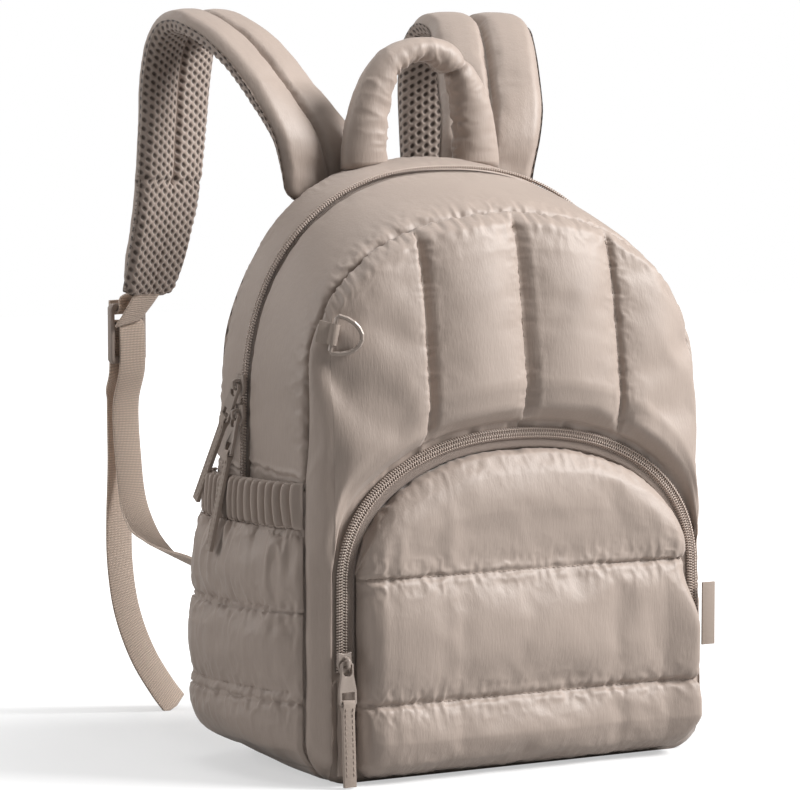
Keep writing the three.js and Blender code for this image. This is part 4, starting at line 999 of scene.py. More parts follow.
sidePocket = {
    "foot": 10, "top": 143.5, "fullness": 13, "puff": 5, "wall": 4, "columns": 46, "rows": 55, "thickness": 1.6,
    "slit": 2.4, "topSlit": 1.4, "seamSlit": 1.3, "creaseSize": 24, "creaseHeight": 0.6, "seamPucker": (6, 9, 1.3),
    "tightGather": (3.4, 4.5, 1.3), "longGather": (9, 24, 2.0),
    "cloth": {"pressure": 0.6, "growth": 0.012, "frames": 12, "cap": 3},
}
elastic = {
    "foot": 143, "height": 26, "pleats": 17, "depth": 5.85, "round": 0.85, "columns": 205, "rows": 19, "thickness": 1.5,
    "lip": 2.0, "lipRoll": 2.2, "footLip": 1.2, "footRoll": 1.6, "stitchLift": 1.3,
}
sideAcross = [(0.01, 0.03), (0.06, 0.12), (0.2, 0.42), (0.4, 0.7), (0.6, 0.92), (0.8, 1), (0.94, 0.72), (0.99, 0)]
sideUp = [
    (0, 0), (0.07, 0.5), (0.18, 0.8), (0.32, 0.95), (0.42, 1), (0.56, 1), (0.67, 0.95), (0.78, 0.9), (0.92, 0.7),
    (1, 0.58),
]
sideSeams = (0.32, 0.67)


def widthAt(face, z):
    low = np.maximum(0, face["corner"] - z)
    corner = face["corner"] - np.sqrt(np.maximum(0, face["corner"] ** 2 - low ** 2))
    high = np.clip((z - face["side"]) / face["rise"], 0, 1)
    return bag["halfWidth"] * archShare(high, face["curve"]) - corner


# A point on the bag's side, from its front (0) to its back (1), some way out of it.
def sidePlace(side, across, z, out):
    crown = bag["crown"] * 4 * across * (1 - across)
    surface = mix(widthAt(frontFace, z), widthAt(backFace, z), across) + crown
    return np.stack([side * narrow(surface + out, z), mix(frontY(z), backY(z), across), z], -1)


def sideFullness(across):
    return np.maximum(0, smoothTable(sideAcross, across, 0.02))


def addSidePocket(side, name):
    share, up = shareGrid(sidePocket["columns"], sidePocket["rows"])
    across = mix(0.001, 0.99, share ** 1.15)
    full = sideFullness(across)
    bounds = (0, *sideSeams, 1.02)
    puff = sum(np.where((up >= a) & (up < b), channel((up - a) / (b - a)), 0) for a, b in zip(bounds, bounds[1:]))
    swell = sidePocket["fullness"] * full * smoothTable(sideUp, up, 0.02) + sidePocket["puff"] * puff * full ** 0.6
    wall = sidePocket["wall"] * np.minimum(1, full * 2 + 0.25) * np.minimum(1, up * 14)
    tuck = sidePocket["slit"] * bell(across, 0.008) + sidePocket["topSlit"] * bell(1 - up, 0.02)
    grid = sidePlace(side, across, mix(sidePocket["foot"], sidePocket["top"], up), 0.6 + wall + swell - tuck)
    inward = facing(grid, 0, -side)
    pins = edgePins(grid)
    seams = [np.argmin(np.abs(up[0] - seam)) for seam in sideSeams]
    pins[:, seams] = 1
    grid = settle(grid, pins, inward, **sidePocket["cloth"])

    def relief(points, s, t):
        height = cloudy(points, sidePocket["creaseSize"], 101, 2) * sidePocket["creaseHeight"]
        for k, seam in enumerate(sideSeams):
            distance = np.abs(t - t[0, -1] * seam)
            height = height + puckers(s, distance, sidePocket["seamPucker"], 103 + k)
            height = height - sidePocket["seamSlit"] * bell(distance, 1.0)
        # gathers below the elastic: tight at its stitches, then long soft folds
        height = height + puckers(s, t[0, -1] - t, sidePocket["tightGather"], 105)
        return height + puckers(s, t[0, -1] - t, sidePocket["longGather"], 106)

    cloth = finishGrid(f"side_pocket_{name}Cloth", grid, 3, inward, sidePocket["thickness"], relief)
    for k, column in enumerate(seams):
        stitchGrid(f"side_stitches_{name}{k}", grid, inward, np.s_[2:-2, column])
    dress(cloth, "shell", "bag", f"side_pocket_{name}", padded=0.6)


def addElastic(side, name):
    share, rise = shareGrid(elastic["columns"], elastic["rows"])
    across = mix(0.001, 0.99, share)
    full = sideFullness(across)
    base = 0.6 + sidePocket["fullness"] * full * smoothTable([(0, 0.58), (0.5, 0.62), (1, 0.54)], rise, 0.02)
    base = base + (sidePocket["wall"] - 1.5) * np.minimum(1, full * 2 + 0.25)
    flow = share * elastic["pleats"] + 0.2 * cloudy(np.stack([share * 9, rise * 1.5], -1), 1, 7)
    fold = np.abs(np.sin(np.pi * flow)) ** elastic["round"] - 0.6
    amount = smoothTable([(0, 0.35), (0.15, 1), (0.85, 1), (1, 0.55)], rise, 0.03) * np.clip(full * 2 + 0.5, 0, 1)
    lip = rollIn((1 - rise) * elastic["height"], elastic["lipRoll"], elastic["lip"])
    lip = lip + rollIn(rise * elastic["height"], elastic["footRoll"], elastic["footLip"])
    out = base + 2 + fold * elastic["depth"] * amount - lip
    z = elastic["foot"] + elastic["height"] * rise
    grid = sidePlace(side, across, z, mix(0.3, out, np.clip(across / 0.03, 0, 1) ** 0.7))
    inward = facing(grid, 0, -side)
    band = finishGrid(f"side_elastic_{name}Cloth", grid, 1, inward, elastic["thickness"])
    dress(band, "shell", "bag", f"side_elastic_{name}", padded=0.5)
    out = -inward[4:-3, 1]
    addStitches(f"elastic_stitches_{name}", grid[4:-3, 1] + out * elastic["stitchLift"], out)


print("side pockets")
for side, name in ((-1, "left"), (1, "right")):
    addSidePocket(side, name)
    addElastic(side, name)


# Shoulder straps: a padded face, an air mesh underside and the webbing to the ladder lock

strap = {
    "width": 63, "spread": 52, "splay": 41, "reach": 132, "rise": 106, "drop": 160, "foot": 25, "pad": 9, "mesh": 3,
    "stations": 150, "columns": 33, "seamDip": 0.3, "longer": 7, "endRound": 7, "rootRound": 10,
    "creaseSize": 34, "creaseHeight": 0.35, "seamPucker": (4.2, 6, 0.4), "edgePucker": (6, 6, 0.3),
    "cloth": {"pressure": 0.15, "growth": 0.004, "frames": 10, "cap": 1.2},
}
# the air mesh under it: a seam up its middle that stops at a seam across
strapMesh = {
    "step": 0.85, "columns": 73, "coarser": 4, "overlap": 0.4, "holeDepth": 0.9, "seamEnd": (0.78, 0.8), "cross": 0.785,
    "crossDepth": 1.6, "full": 1.25, "dip": 1.15, "bulge": 0.75, "edge": 0.84, "edgeDrop": 1.9,
}
strapPath = [
    (0, 0, 0, 0), (0.07, 0.02, 0.16, 0), (0.2, 0.05, 0.34, 0), (0.36, 0.12, 0.48, 0), (0.5, 0.21, 0.61, 0),
    (0.63, 0.3, 0.74, 0), (0.8, 0.42, 0.875, 0), (0.97, 0.553, 0.964, 0), (1, 0.644, 0.99, 0), (1.04, 0.742, 1, 0.02),
    (1.06, 0.833, 1, 0.09), (1.08, 0.886, 1, 0.23), (1.1, 0.9, 1, 0.37), (1.13, 0.91, 1, 0.53), (1.17, 0.92, 1, 0.68),
    (1.24, 0.95, 1, 0.83), (1.34, 1, 1, 1),
]
strapWide = [(0, 1), (0.6, 1), (0.8, 0.93), (0.93, 0.84), (1, 0.72)]
strapThick = [(0, 0.35), (0.1, 0.8), (0.2, 1), (0.8, 1), (0.93, 0.95), (1, 0.5)]
padAcross = [
    (-1, 0.3), (-0.86, 0.8), (-0.6, 0.93), (-0.3, 0.95), (-0.12, 0.85), (0, 0.5), (0.12, 0.85), (0.3, 0.95),
    (0.6, 0.93), (0.86, 0.8), (1, 0.3),
]
strapHeading = np.arctan2(strap["splay"], strap["reach"] * 0.644)


# The padded back's surface.
def backSurface(x, z):
    across = np.interp(np.abs(x) / bag["halfWidth"], [0, 0.3, 0.55, 0.76, 0.9, 0.97, 1], [1, 1, 0.95, 0.85, 0.6, 0.35, 0])
    foot, top = footAt(backFace, x), topAt(backFace, x)
    up = np.interp((z - foot) / (top - foot), [0, 0.05, 0.15, 0.4, 0.7, 0.88, 1], [0, 0.55, 0.95, 1, 0.95, 0.6, 0])
    return backY(z) + bag["gap"] + bag["rim"] + 5 * across * up


# A smooth line through points, spaced as the solids' own curve is, and its even resampling.
def smoothLine(points, count):
    points = np.asarray(points, float)
    ends = np.concatenate([[2 * points[0] - points[1]], points, [2 * points[-1] - points[-2]]])
    line = []
    for k in range(len(points) - 1):
        a, b, c, d = ends[k:k + 4]
        one, two, three = (max(np.linalg.norm(q - p) ** 0.5, 1e-4) for p, q in ((a, b), (b, c), (c, d)))
        start = ((b - a) / one - (c - a) / (one + two) + (c - b) / two) * two
        stop = ((c - b) / two - (d - b) / (two + three) + (d - c) / three) * two
        t = np.linspace(0, 1, 40, endpoint=k == len(points) - 2)[:, None]
        line.append((2 * t ** 3 - 3 * t ** 2 + 1) * b + (t ** 3 - 2 * t ** 2 + t) * start
                    + (3 * t ** 2 - 2 * t ** 3) * c + (t ** 3 - t ** 2) * stop)
    line = np.concatenate(line)
    return evenly(line, count), runOf(line)[-1]


# The strap's middle line, its way across and its way out. The dressed one runs a little further.
def strapFrames(count, dressed=False):
    foot = backTop - strap["foot"]
    start = backSurface(strap["spread"], foot) + bag["gap"] + strap["pad"] * strapThick[0][1]
    points = [(strap["spread"] + strap["splay"] * s, start + strap["reach"] * r, foot + strap["rise"] * u - strap["drop"] * d)
              for s, r, u, d in strapPath]
    if dressed:
        last = np.subtract(points[-1], points[-2])
        points.append(tuple(points[-1] + unit(last) * strap["longer"]))
    middle, length = smoothLine(points, count)
    heading = strapHeading * np.clip(np.linspace(0, 1, count) / 0.22, 0, 1)
    across = np.stack([np.cos(heading), -np.sin(heading), heading * 0], -1)
    if dressed:
        # the cloth lies square to its own run towards the end
        along = unit(np.gradient(middle, axis=0))
        lean = smoothStep(0.45, 0.8, np.linspace(0, 1, count))[:, None]
        across = unit(across - along * np.sum(across * along, -1, keepdims=True) * lean)
    out = unit(np.cross(across, np.gradient(middle, axis=0)))
    return middle, across, out, length


def airHoles(s, t):
    column = np.round(t / airMesh["wide"])
    side = t - column * airMesh["wide"]
    place = s / airMesh["long"] + 0.5 * (column % 2)
    along = (place - np.round(place)) * airMesh["long"]
    radius = np.hypot((side + along * airMesh["lean"]) / airMesh["holeWide"] * 2, along / airMesh["holeLong"] * 2)
    return 1 - smoothStep(0.6, 1.25, radius)


# Rounds the last corners of a strap: the half width left at a distance from its end.
def rounded(half, distance, radius):
    return half - radius * (1 - np.sqrt(np.maximum(0, 1 - np.clip(1 - distance / radius, 0, 1) ** 2)))


def strapHalf(share, length):
    half = rounded(strap["width"] / 2 * smoothTable(strapWide, share, 0.03), (1 - share) * length, strap["endRound"])
    return rounded(half, share * length, strap["rootRound"])


# Mirrors what is made for the right side.
def flippedFor(side):
    return np.array([side, 1, 1])


def addStrapPad(side, name):
    flipped = flippedFor(side)
    count, columns = strap["stations"], strap["columns"]
    middle, across, out, length = strapFrames(count, True)
    share, a = np.linspace(0, 1, count)[:, None], np.linspace(-1, 1, columns)[None]
    half = strapHalf(share, length)
    thick = smoothTable(strapThick, share, 0.03)
    height = smoothTable(padAcross, a, 0.05) - strap["seamDip"] * bell(a, 0.06)
    height = height * np.sqrt(np.maximum(0, 1 - np.clip((np.abs(a) - 0.88) / 0.12, 0, 1) ** 2))
    height = height * np.sqrt(np.clip((1 - share) * 30, 0, 1))
    base = middle[:, None] + across[:, None] * (half * a)[..., None]
    grid = (base + out[:, None] * (strap["pad"] * thick * height)[..., None]) * flipped
    inward = np.broadcast_to((-out * flipped)[:, None], grid.shape)
    pins = edgePins(grid)
    pins[:, columns // 2] = 1
    grid = settle(grid, pins, inward, **strap["cloth"])

    def relief(points, s, t):
        wide = t[0, -1]
        height = cloudy(points, strap["creaseSize"], 121, 2) * strap["creaseHeight"]
        height = height + puckers(s, np.abs(t - wide / 2), strap["seamPucker"], 123)
        return height + puckers(s, np.minimum(t, wide - t), strap["edgePucker"], 127)

    pad = finishGrid(f"strap_pad_{name}Cloth", grid, 2, inward, 0, relief, inner=base * flipped)
    dress(pad, "shell", "bag", f"strap_pad_{name}", padded=0.7)


def addStrapMesh(side, name):
    look, coarser = strapMesh, strapMesh["coarser"]
    rows, columns = int(strapFrames(strap["stations"], True)[3] / look["step"]), look["columns"]
    middle, across, out, length = strapFrames(rows, True)
    share, a = np.linspace(0, 1, rows)[:, None], np.linspace(-1, 1, columns)[None]
    half = strapHalf(share, length) + look["overlap"]
    seamed = 1 - smoothStep(*look["seamEnd"], share)
    under = look["full"] - (look["dip"] * seamed + 0.2) * np.exp(-np.abs(a / 0.055) ** 1.5)
    under = under + look["bulge"] * seamed * np.sin(np.pi * np.abs(a)) ** 0.7
    under = under - look["edgeDrop"] * np.clip((np.abs(a) - look["edge"]) / 0.16, 0, 1) ** 2.2
    # the holes keep their size where the cloth turns over the edge
    section = np.stack([half * a, strap["mesh"] * under * np.ones_like(half)], -1)
    t = np.cumsum(np.linalg.norm(np.diff(section, axis=1, prepend=section[:, :1]), axis=-1), axis=1)
    t = t - t[:, columns // 2, None]
    s = share * length * np.ones_like(a)
    rim = np.clip((1 - np.abs(a)) * 14, 0, 1)
    depth = bag["gap"] + strap["mesh"] * under - airHoles(s, t) * look["holeDepth"] * rim
    soft = cloudy(np.stack([s, t], -1), 14, 131) * 0.35
    crossed = (bell(share - look["cross"], 0.005) + bell(share - 1, 0.012)) * look["crossDepth"]
    top = middle[:, None] + across[:, None] * (half * a)[..., None]
    face = (top - out[:, None] * (depth + soft - crossed)[..., None]) * flippedFor(side)
    inside = (middle[:, None] + across[:, None] * (half * a * 0.97)[..., None]) - out[:, None] * bag["gap"]
    # the inner grid takes every few rows, so the outer one stops at the last of them
    used = (rows - 1) // coarser * coarser + 1
    coarse = (inside[::coarser, ::coarser] * flippedFor(side))[: (used - 1) // coarser + 1]
    uv = np.stack([s[:used], t[:used]], -1)
    mesh = shell(f"strap_mesh_{name}Cloth", face[:used], coarse, uv)
    dress(mesh, "mesh", "bag", f"strap_mesh_{name}", padded=0.5)


print("straps")
for side, name in ((-1, "left"), (1, "right")):
    addStrapPad(side, name)
    addStrapMesh(side, name)


# Webbing bands, with a rounded edge and a woven face

webbing = {"width": 25, "thickness": 1.6, "step": 1.6, "wave": 0.35, "waveSize": 30, "seat": 0.6}
lock = {"width": 34, "height": 37, "thickness": 3.6, "bar": 4.5, "drop": 26, "upperSlot": 8}
lock["lowerSlot"] = lock["height"] - 3 * lock["bar"] - lock["upperSlot"]
hem = {"over": 0.35, "across": 7, "up": 2.2, "slant": 0.18}
# x, y, z and twist of the run from the back to the lock
loadedRun = [
    (119, 66, 108, 0.3), (124, 84, 108, 0.35), (125, 112, 109, 0.35), (122, 145, 112, 0.25), (119, 172, 119, 0.1),
    (117, 190, 134, 0), (116.5, 198, 160, 0), (116, 202, 195, 0),
]
# x, y and z of the tail that hangs from it
freeRun = [
    (115, 213, 200), (114.5, 214, 160), (115, 215, 125), (114.5, 215, 93), (110.5, 214, 64), (101, 212, 36),
    (89, 210, 15), (79, 209, 1.4),
]
bandSection = [
    (-1, 0, 0), (-1, 1, 0.42), (-1, 2, 0.5), (-0.5, 0, 0.5), (0, 0, 0.5), (0.5, 0, 0.5), (1, -2, 0.5), (1, -1, 0.42),
    (1, 0, 0), (1, -1, -0.42), (1, -2, -0.5), (0, 0, -0.5), (-1, 2, -0.5), (-1, 1, -0.42),
]


def lockFrame():
    middle, across, out, _ = strapFrames(400)
    place = middle[-1] + np.array([lock["width"] * 0.27, lock["width"] * 0.41, -lock["drop"]])
    return place, across[-1], np.array([np.sin(strapHeading), np.cos(strapHeading), 0]), middle[-1], out[-1]


# Webbing's turn round a bar of the lock, at a level above its middle.
def turnRound(level, up):
    place, across, out, _, _ = lockFrame()
    radius = np.hypot(lock["bar"], lock["thickness"]) / 2 + bag["gap"] + webbing["thickness"] / 2
    turn = np.pi * np.linspace(0, 1, 9)[:, None]
    way = -np.cos(turn) * out + np.sin(turn) * np.array([0, 0, up])
    return place + np.array([0, 0, level]) + way * radius, way


# Rings of a flat band about a line, from its way across and its way out.
def bandRings(middle, across, out):
    half, thickness = webbing["width"] / 2, webbing["thickness"]
    section = np.array([(halves * half + edges * thickness * 0.35, up) for halves, edges, up in bandSection])
    rings = middle[:, None] + across[:, None] * section[None, :, :1] + out[:, None] * section[None, :, 1:] * thickness
    return rings, section[:, 0]


# A band through stations, each a point with its way across and its way out.
def addBandPiece(name, stations, side, wave=0.0, replaced=True, square=1.0):
    table = np.array([np.concatenate(row) for row in stations])
    line, _ = smoothLine(table, int(runOf(table[:, :3])[-1] / webbing["step"]))
    # the ways turn with the line, and are squared to it again
    middle = line[:, :3]
    along = unit(np.gradient(middle, axis=0))
    across = unit(line[:, 3:6] - along * np.sum(line[:, 3:6] * along, -1, keepdims=True) * square)
    out = unit(np.cross(along, across))
    out = out * np.sign(np.sum(out * line[:, 6:9], -1, keepdims=True) + 1e-9)
    rings, offsets = bandRings(middle, across, out)
    uv = np.stack(np.meshgrid(runOf(middle), offsets, indexing="ij"), -1)
    rings = rings + out[:, None] * (cloudy(uv, webbing["waveSize"], 141) * wave)[..., None]
    # a low corner rests on the floor
    rings[..., 2] = np.maximum(rings[..., 2], floorGap)
    band = tube(name + "Band", rings * flippedFor(side), uv=uv)
    return dress(band, "webbing", "bag", *([name] if replaced else []))


def addStrapWebbing(side, name):
    place, across, out, end, endOut = lockFrame()
    topBar = lock["bar"] + lock["upperSlot"]
    middles, ways = turnRound(topBar, -1)
    lift = place[2] + topBar + lock["bar"] * 1.1
    tip = end - endOut * webbing["thickness"] + np.array([0, 0, -bag["gap"] - 1.2])
    first, last = middles[0].copy(), middles[-1].copy()
    first[2], last[2] = lift, lift - 1
    stations = [(tip, across, unit(ways[0] + np.array([0, 0, 0.35]))), (first, across, ways[0])]
    stations += [(m, across, w) for m, w in zip(middles, ways)] + [(last, across, ways[-1])]
    addBandPiece(f"strap_webbing_{name}", stations, side)
    # the sewn end lies over the lock, towards the bag
    front = unit(ways[0])
    radius = np.linalg.norm(middles[0] - place - np.array([0, 0, topBar])) + webbing["thickness"] + hem["over"]
    foot = place + front * radius + across * hem["across"] + np.array([0, 0, hem["up"]])
    slanted = unit(across + np.array([0, 0, hem["slant"]]) * np.sign(-across[0]))
    middle, padAway, padOut, _ = strapFrames(60, True)
    root = middle[-1] - padOut[-1] * (strap["mesh"] * 0.5) + padAway[-1] + unit(middle[-4] - middle[-1]) * 5
    flap = [
        (root, padAway[-1], -padOut[-1]),
        (mix(root, foot, 0.5) + front * 0.6, unit(padAway[-1] + slanted), front),
        (foot, slanted, front),
    ]
    addBandPiece(f"strap_hem_{name}", flap, side, replaced=False, square=0.2)


def addAdjuster(side, name):
    across = lockFrame()[1]
    middles, ways = turnRound(0, 1)
    x, _, z, _ = loadedRun[0]
    seat = max(backSurface(x + k * webbing["width"], z) for k in (-0.5, 0, 0.5)) + webbing["seat"]
    below = np.array([0, 0, -lock["bar"] * 1.5 - lock["lowerSlot"] - 4])
    loaded = [np.array(row[:3], float) for row in loadedRun]
    loaded[0][1] = seat
    free = [np.array(row, float) for row in freeRun]
    line = loaded + [middles[0] + below] + list(middles) + [middles[-1] + below] + free
    first = len(loaded) + 1
    stations, before = [], None
    for k, middle in enumerate(line):
        along = unit(line[min(k + 1, len(line) - 1)] - line[max(k - 1, 0)])
        twist = loadedRun[k][3] if 0 < k < len(loaded) else 0
        level = np.array([1.0, 0, 0]) if k < 3 else across
        level = unit(mix(level, np.array([0, 0, 1.0]), twist))
        way = ways[k - first] if first <= k < first + len(ways) else unit(np.cross(level, along))
        if before is not None and np.dot(way, before) < 0:
            way = -way
        before = way
        stations.append((middle, level, way))
    addBandPiece(f"adjuster_webbing_{name}", stations, side, webbing["wave"])


for side, name in ((-1, "left"), (1, "right")):
    addStrapWebbing(side, name)
    addAdjuster(side, name)


# Carry handle: a stuffed tube, pinched where it bends

handle = {
    "spread": 38, "rise": 67, "plane": 41, "leg": 15, "depth": 10, "curve": 2.3, "stations": 240, "sides": 52,
    "creaseSize": 15, "creaseHeight": 0.5, "pucker": (7, 10, 1.5), "foldLean": 0.012, "sink": 0.9,
}
handleRadial = [
    (0, 1), (0.12, 0.86), (0.24, 0.72), (0.34, 0.6), (0.42, 0.5), (0.5, 0.5), (0.58, 0.56), (0.64, 0.6), (0.69, 0.5),
    (0.74, 0.66), (0.86, 0.85), (1, 1.05),
]
handleDeep = [
    (0, 0.95), (0.12, 1), (0.24, 1), (0.34, 0.95), (0.42, 0.9), (0.58, 0.95), (0.64, 0.98), (0.69, 0.85), (0.74, 1),
    (1, 0.95),
]
# folds pressed into the inside of the bend: place along, half width, depth, and how far round
handleFolds = [
    (0.30, 0.012, 3.2, 0.9), (0.34, 0.016, 3.0, 1.1), (0.44, 0.014, 2.2, 0.8), (0.485, 0.012, 2.6, 1.0),
    (0.53, 0.01, 1.6, 0.7), (0.685, 0.011, 5.0, 1.9), (0.72, 0.02, 1.5, 0.8), (0.12, 0.014, 1.6, 0.6),
]


def bodyTopAt(x, y):
    front, back = topAt(frontFace, x), topAt(backFace, x)
    across = np.clip((y - frontY(front)) / (backY(back) - frontY(front)), 0, 1)
    return mix(front, back, across) + bag["crown"] * 4 * across * (1 - across)


def addHandle():
    foot = bodyTopAt(handle["spread"], handle["plane"])
    share = np.linspace(0, 1, handle["stations"])

    def path(at):
        return archLine(handle["spread"], foot, handle["rise"], handle["curve"], np.clip(at, 0, 1))

    middle = path(share)
    along = unit(path(share + 0.004) - path(share - 0.004))
    along[0], along[-1] = (0, 1), (0, -1)
    radial = handle["leg"] * smoothTable(handleRadial, share, 0.02)
    deep = handle["depth"] * smoothTable(handleDeep, share, 0.02)
    turn = np.linspace(0, 2 * np.pi, handle["sides"], endpoint=False)
    out = radial[:, None] * np.cos(turn)
    side = deep[:, None] * np.sin(turn)
    spots = np.stack([runOf(middle)[:, None] + 0 * out, out, side], -1)
    swell = creases(spots, handle["creaseSize"], 151) * handle["creaseHeight"]
    swell = swell + puckers(spots[..., 0], np.abs(turn - np.pi)[None] * 9 + 0 * out, handle["pucker"], 153)
    for at, wide, depth, reach in handleFolds:
        leaning = share[:, None] - at + handle["foldLean"] * np.sin(turn)[None]
        swell = swell - depth * bell(leaning, wide) * bell(turn - np.pi, reach)[None]
    swell = swell * smoothStep(0, 0.04, share)[:, None] * smoothStep(0, 0.04, 1 - share)[:, None]
    grow = 1 + swell / np.hypot(radial, deep)[:, None] * 1.2
    out, side = out * grow, side * grow
    x = middle[:, :1] - along[:, 1:] * out
    z = middle[:, 1:] + along[:, :1] * out
    y = handle["plane"] + side
    # both feet end on the bag's top
    ends = smoothStep(0, 0.035, share) * smoothStep(0, 0.035, 1 - share)
    floor = bodyTopAt(x, y) + handle["sink"]
    z = np.where(ends[:, None] < 1, np.maximum(z, floor), z)
    z[0], z[-1] = floor[0], floor[-1]
    piece = tube("carry_handleCloth", np.stack([x, y, z], -1))
    dress(piece, "shell", "bag", "carry_handle", padded=0.8)


print("handle")
addHandle()


# Back panel of padded air mesh

backPad = {
    "columns": 89, "rows": 113, "gather": 0.9, "rimRoll": 6, "channels": (-44, 44), "channelDepth": 2.0,
    "channelWidth": 2.6, "inset": 2.6, "insetReach": 7, "creaseSize": 40, "creaseHeight": 0.7, "thickness": 2.0,
}


def addBackPanel():
    half = bag["halfWidth"]
    xs = gatheredWide(backPad["columns"], backPad["gather"]) * half
    foot, top = footAt(backFace, xs)[:, None], topAt(backFace, xs)[:, None]
    z = mix(foot, top, np.linspace(0, 1, backPad["rows"])[None])
    x = xs[:, None] * np.ones_like(z)
    away = np.maximum(np.minimum(np.minimum(half - np.abs(x), top - z), z - foot), 0)
    y = backSurface(x, z) - rollIn(away, backPad["rimRoll"], bag["rim"])
    for at in backPad["channels"]:
        y = y - backPad["channelDepth"] * bell(x - at, backPad["channelWidth"]) * smoothStep(0, 25, away)
    y = y + cloudy(np.stack([x, z], -1), backPad["creaseSize"], 161) * backPad["creaseHeight"]
    draw = backPad["inset"] * np.clip(1 - away / backPad["insetReach"], 0, 1) ** 1.5
    out = outlineWay(backFace, x, z)
    grid = np.stack([narrow(x - draw * out[..., 0], z), y, z - draw * out[..., 1]], -1)
    panel = finishGrid("back_panelCloth", grid, 1, facing(grid, 1, -1), backPad["thickness"])
    dress(panel, "mesh", "bag", "back_panel", padded=0.6)


addBackPanel()


# Zips: a twill tape and two rows of coil loops that meet in the middle

zipLook = {"pitch": 1.6, "wire": 0.5, "tilt": 0.45, "tapeThickness": 0.8}
mainZip = {
    "stations": 420, "rows": 231, "columns": 15, "depth": 0.5, "dip": 2.2, "coilDepth": 0.2, "lift": 1.3, "half": 2.9,
}
pocketZip = {
    "stations": 600, "rows": 221, "columns": 9, "inner": 0.7, "outer": 12.2, "coilAt": 9, "foot": 64,
    "tapeLift": 1.4, "lift": 0.35, "half": 3.5,
}
garage = {"foot": 6, "top": 59, "inner": 0.8, "outer": 11.5, "rise": 1.3, "puff": 2.4, "fold": 0.55, "thickness": 0.8}


# The way out of the zip's line nearest to each row of its tape.
def tapeWays(grid, middle, out):
    near = np.argmin(np.linalg.norm(grid[:, grid.shape[1] // 2][:, None] - middle[None], axis=-1), axis=1)
    return np.broadcast_to(out[near][:, None], grid.shape)


# A zip from its middle line and the way out of it: the coil's loops stand a lift over the tape.
def addZip(name, middle, out, tapeGrid, lift, half):
    spot, up = alongLine(middle, np.arange(1.0, runOf(middle)[-1] - 1.0, zipLook["pitch"]), out)
    up, along = unit(up), unit(np.gradient(spot, axis=0))
    side = unit(np.cross(along, up))
    runs = []
    for hand in (-1, 1):
        base = spot + along * zipLook["pitch"] * (0.5 if hand > 0 else 0)
        inner = base + up * (lift + 0.45) - side * hand * 0.3 + along * zipLook["tilt"]
        head = base + up * (lift + 0.95) + side * hand * half * 0.4
        outer = base + up * (lift + 0.1) + side * hand * half - along * zipLook["tilt"]
        runs += [(inner, head, up), (head, outer, up)]
        # the chain stitch that sews the loops down
        sewn = base + up * (lift + 1.15) + side * hand * half * 0.55
        runs.append((sewn - along * 0.55, sewn + along * 0.55 + side * hand * 0.3, up))
    coil = joinedCapsules(name + "Coil", runs, zipLook["wire"])
    dress(coil, "coil", "bag", slot="tape")
    tape = finishGrid(name + "Tape", tapeGrid, 1, -tapeWays(tapeGrid, middle, out), zipLook["tapeThickness"])
    dress(tape, "tape", "bag", name)


def addMainZip():
    share = evenShares(upperLine, mainZip["stations"])
    middle = gussetPoint(upperLine, share, zipAcross(share), mainZip["coilDepth"])
    out = unit(gussetPoint(upperLine, share, zipAcross(share), -5) - middle)
    rows, columns = mainZip["rows"], mainZip["columns"]
    shares = evenShares(upperLine, rows)[:, None] * np.ones((1, columns))
    offsets = np.linspace(-1, 1, columns)[None] * bag["zipWidth"] / 2 * np.ones((rows, 1))
    depth = mainZip["depth"] + mainZip["dip"] * smoothStep(3.0, 4.6, np.abs(offsets))
    tapeGrid = gussetPoint(upperLine, shares, zipAcross(shares, offsets), depth)
    addZip("main_zipper", middle, out, tapeGrid, mainZip["lift"], mainZip["half"])


# A line round the pocket at a distance from its edge.
def pocketLine(offset, count):
    def arch(turn):
        return archLine(pocket["halfWidth"], pocket["side"], pocket["rise"], pocket["curve"], np.clip(turn, 0, 1))

    turn = np.linspace(0, 1, 1500)
    along = unit(arch(turn + 0.004) - arch(turn - 0.004))
    bow = arch(turn) + np.stack([-along[:, 1], along[:, 0]], -1) * offset
    z = np.linspace(pocketZip["foot"], pocket["side"], 30)[:-1]
    leg = np.stack([z * 0 + pocket["halfWidth"] + offset, z], -1)
    return evenly(np.concatenate([leg * (-1, 1), bow, leg[::-1]]), count).T


def addPocketZip():
    def onGround(offset, count):
        x, z = pocketLine(offset, count)
        return np.stack([narrow(x + quilt["shift"], z), groundY(z) - bag["gap"] - pocketZip["tapeLift"], z], -1)

    middle = onGround(pocketZip["coilAt"], pocketZip["stations"])
    offsets = np.linspace(pocketZip["inner"], pocketZip["outer"], pocketZip["columns"])
    tapeGrid = np.stack([onGround(offset, pocketZip["rows"]) for offset in offsets], 1)
    addZip("pocket_zipper", middle, facing(middle, 1, -1), tapeGrid, pocketZip["lift"], pocketZip["half"])


# A scrap of shell cloth that closes the zip's foot, left of the pocket.
def addGarage():
    rise, run = shareGrid(41, 17)
    z = mix(garage["foot"], garage["top"], rise)
    x = -(pocket["halfWidth"] + mix(garage["inner"], garage["outer"], run))
    fold = np.sin(rise * 17 + run * 3.2) * garage["fold"] + cloudy(np.stack([rise * 4, run * 2], -1), 1, 171) * 0.8
    out = garage["rise"] + garage["puff"] * np.sin(np.pi * run) ** 0.6 + fold * np.sin(np.pi * rise)
    out = out - rollIn((1 - rise) * (garage["top"] - garage["foot"]), 2.5, 1.2)
    grid = np.stack([narrow(x + quilt["shift"], z), groundY(z) - bag["gap"] - out, z], -1)
    cloth = finishGrid("zip_garage_left", grid, 2, facing(grid, 1, 1), garage["thickness"])
    dress(cloth, "shell", "bag", padded=0.2)


print("zips")
addMainZip()
addPocketZip()
addGarage()


# Bought-in hardware: the frame's own shapes, rounded over

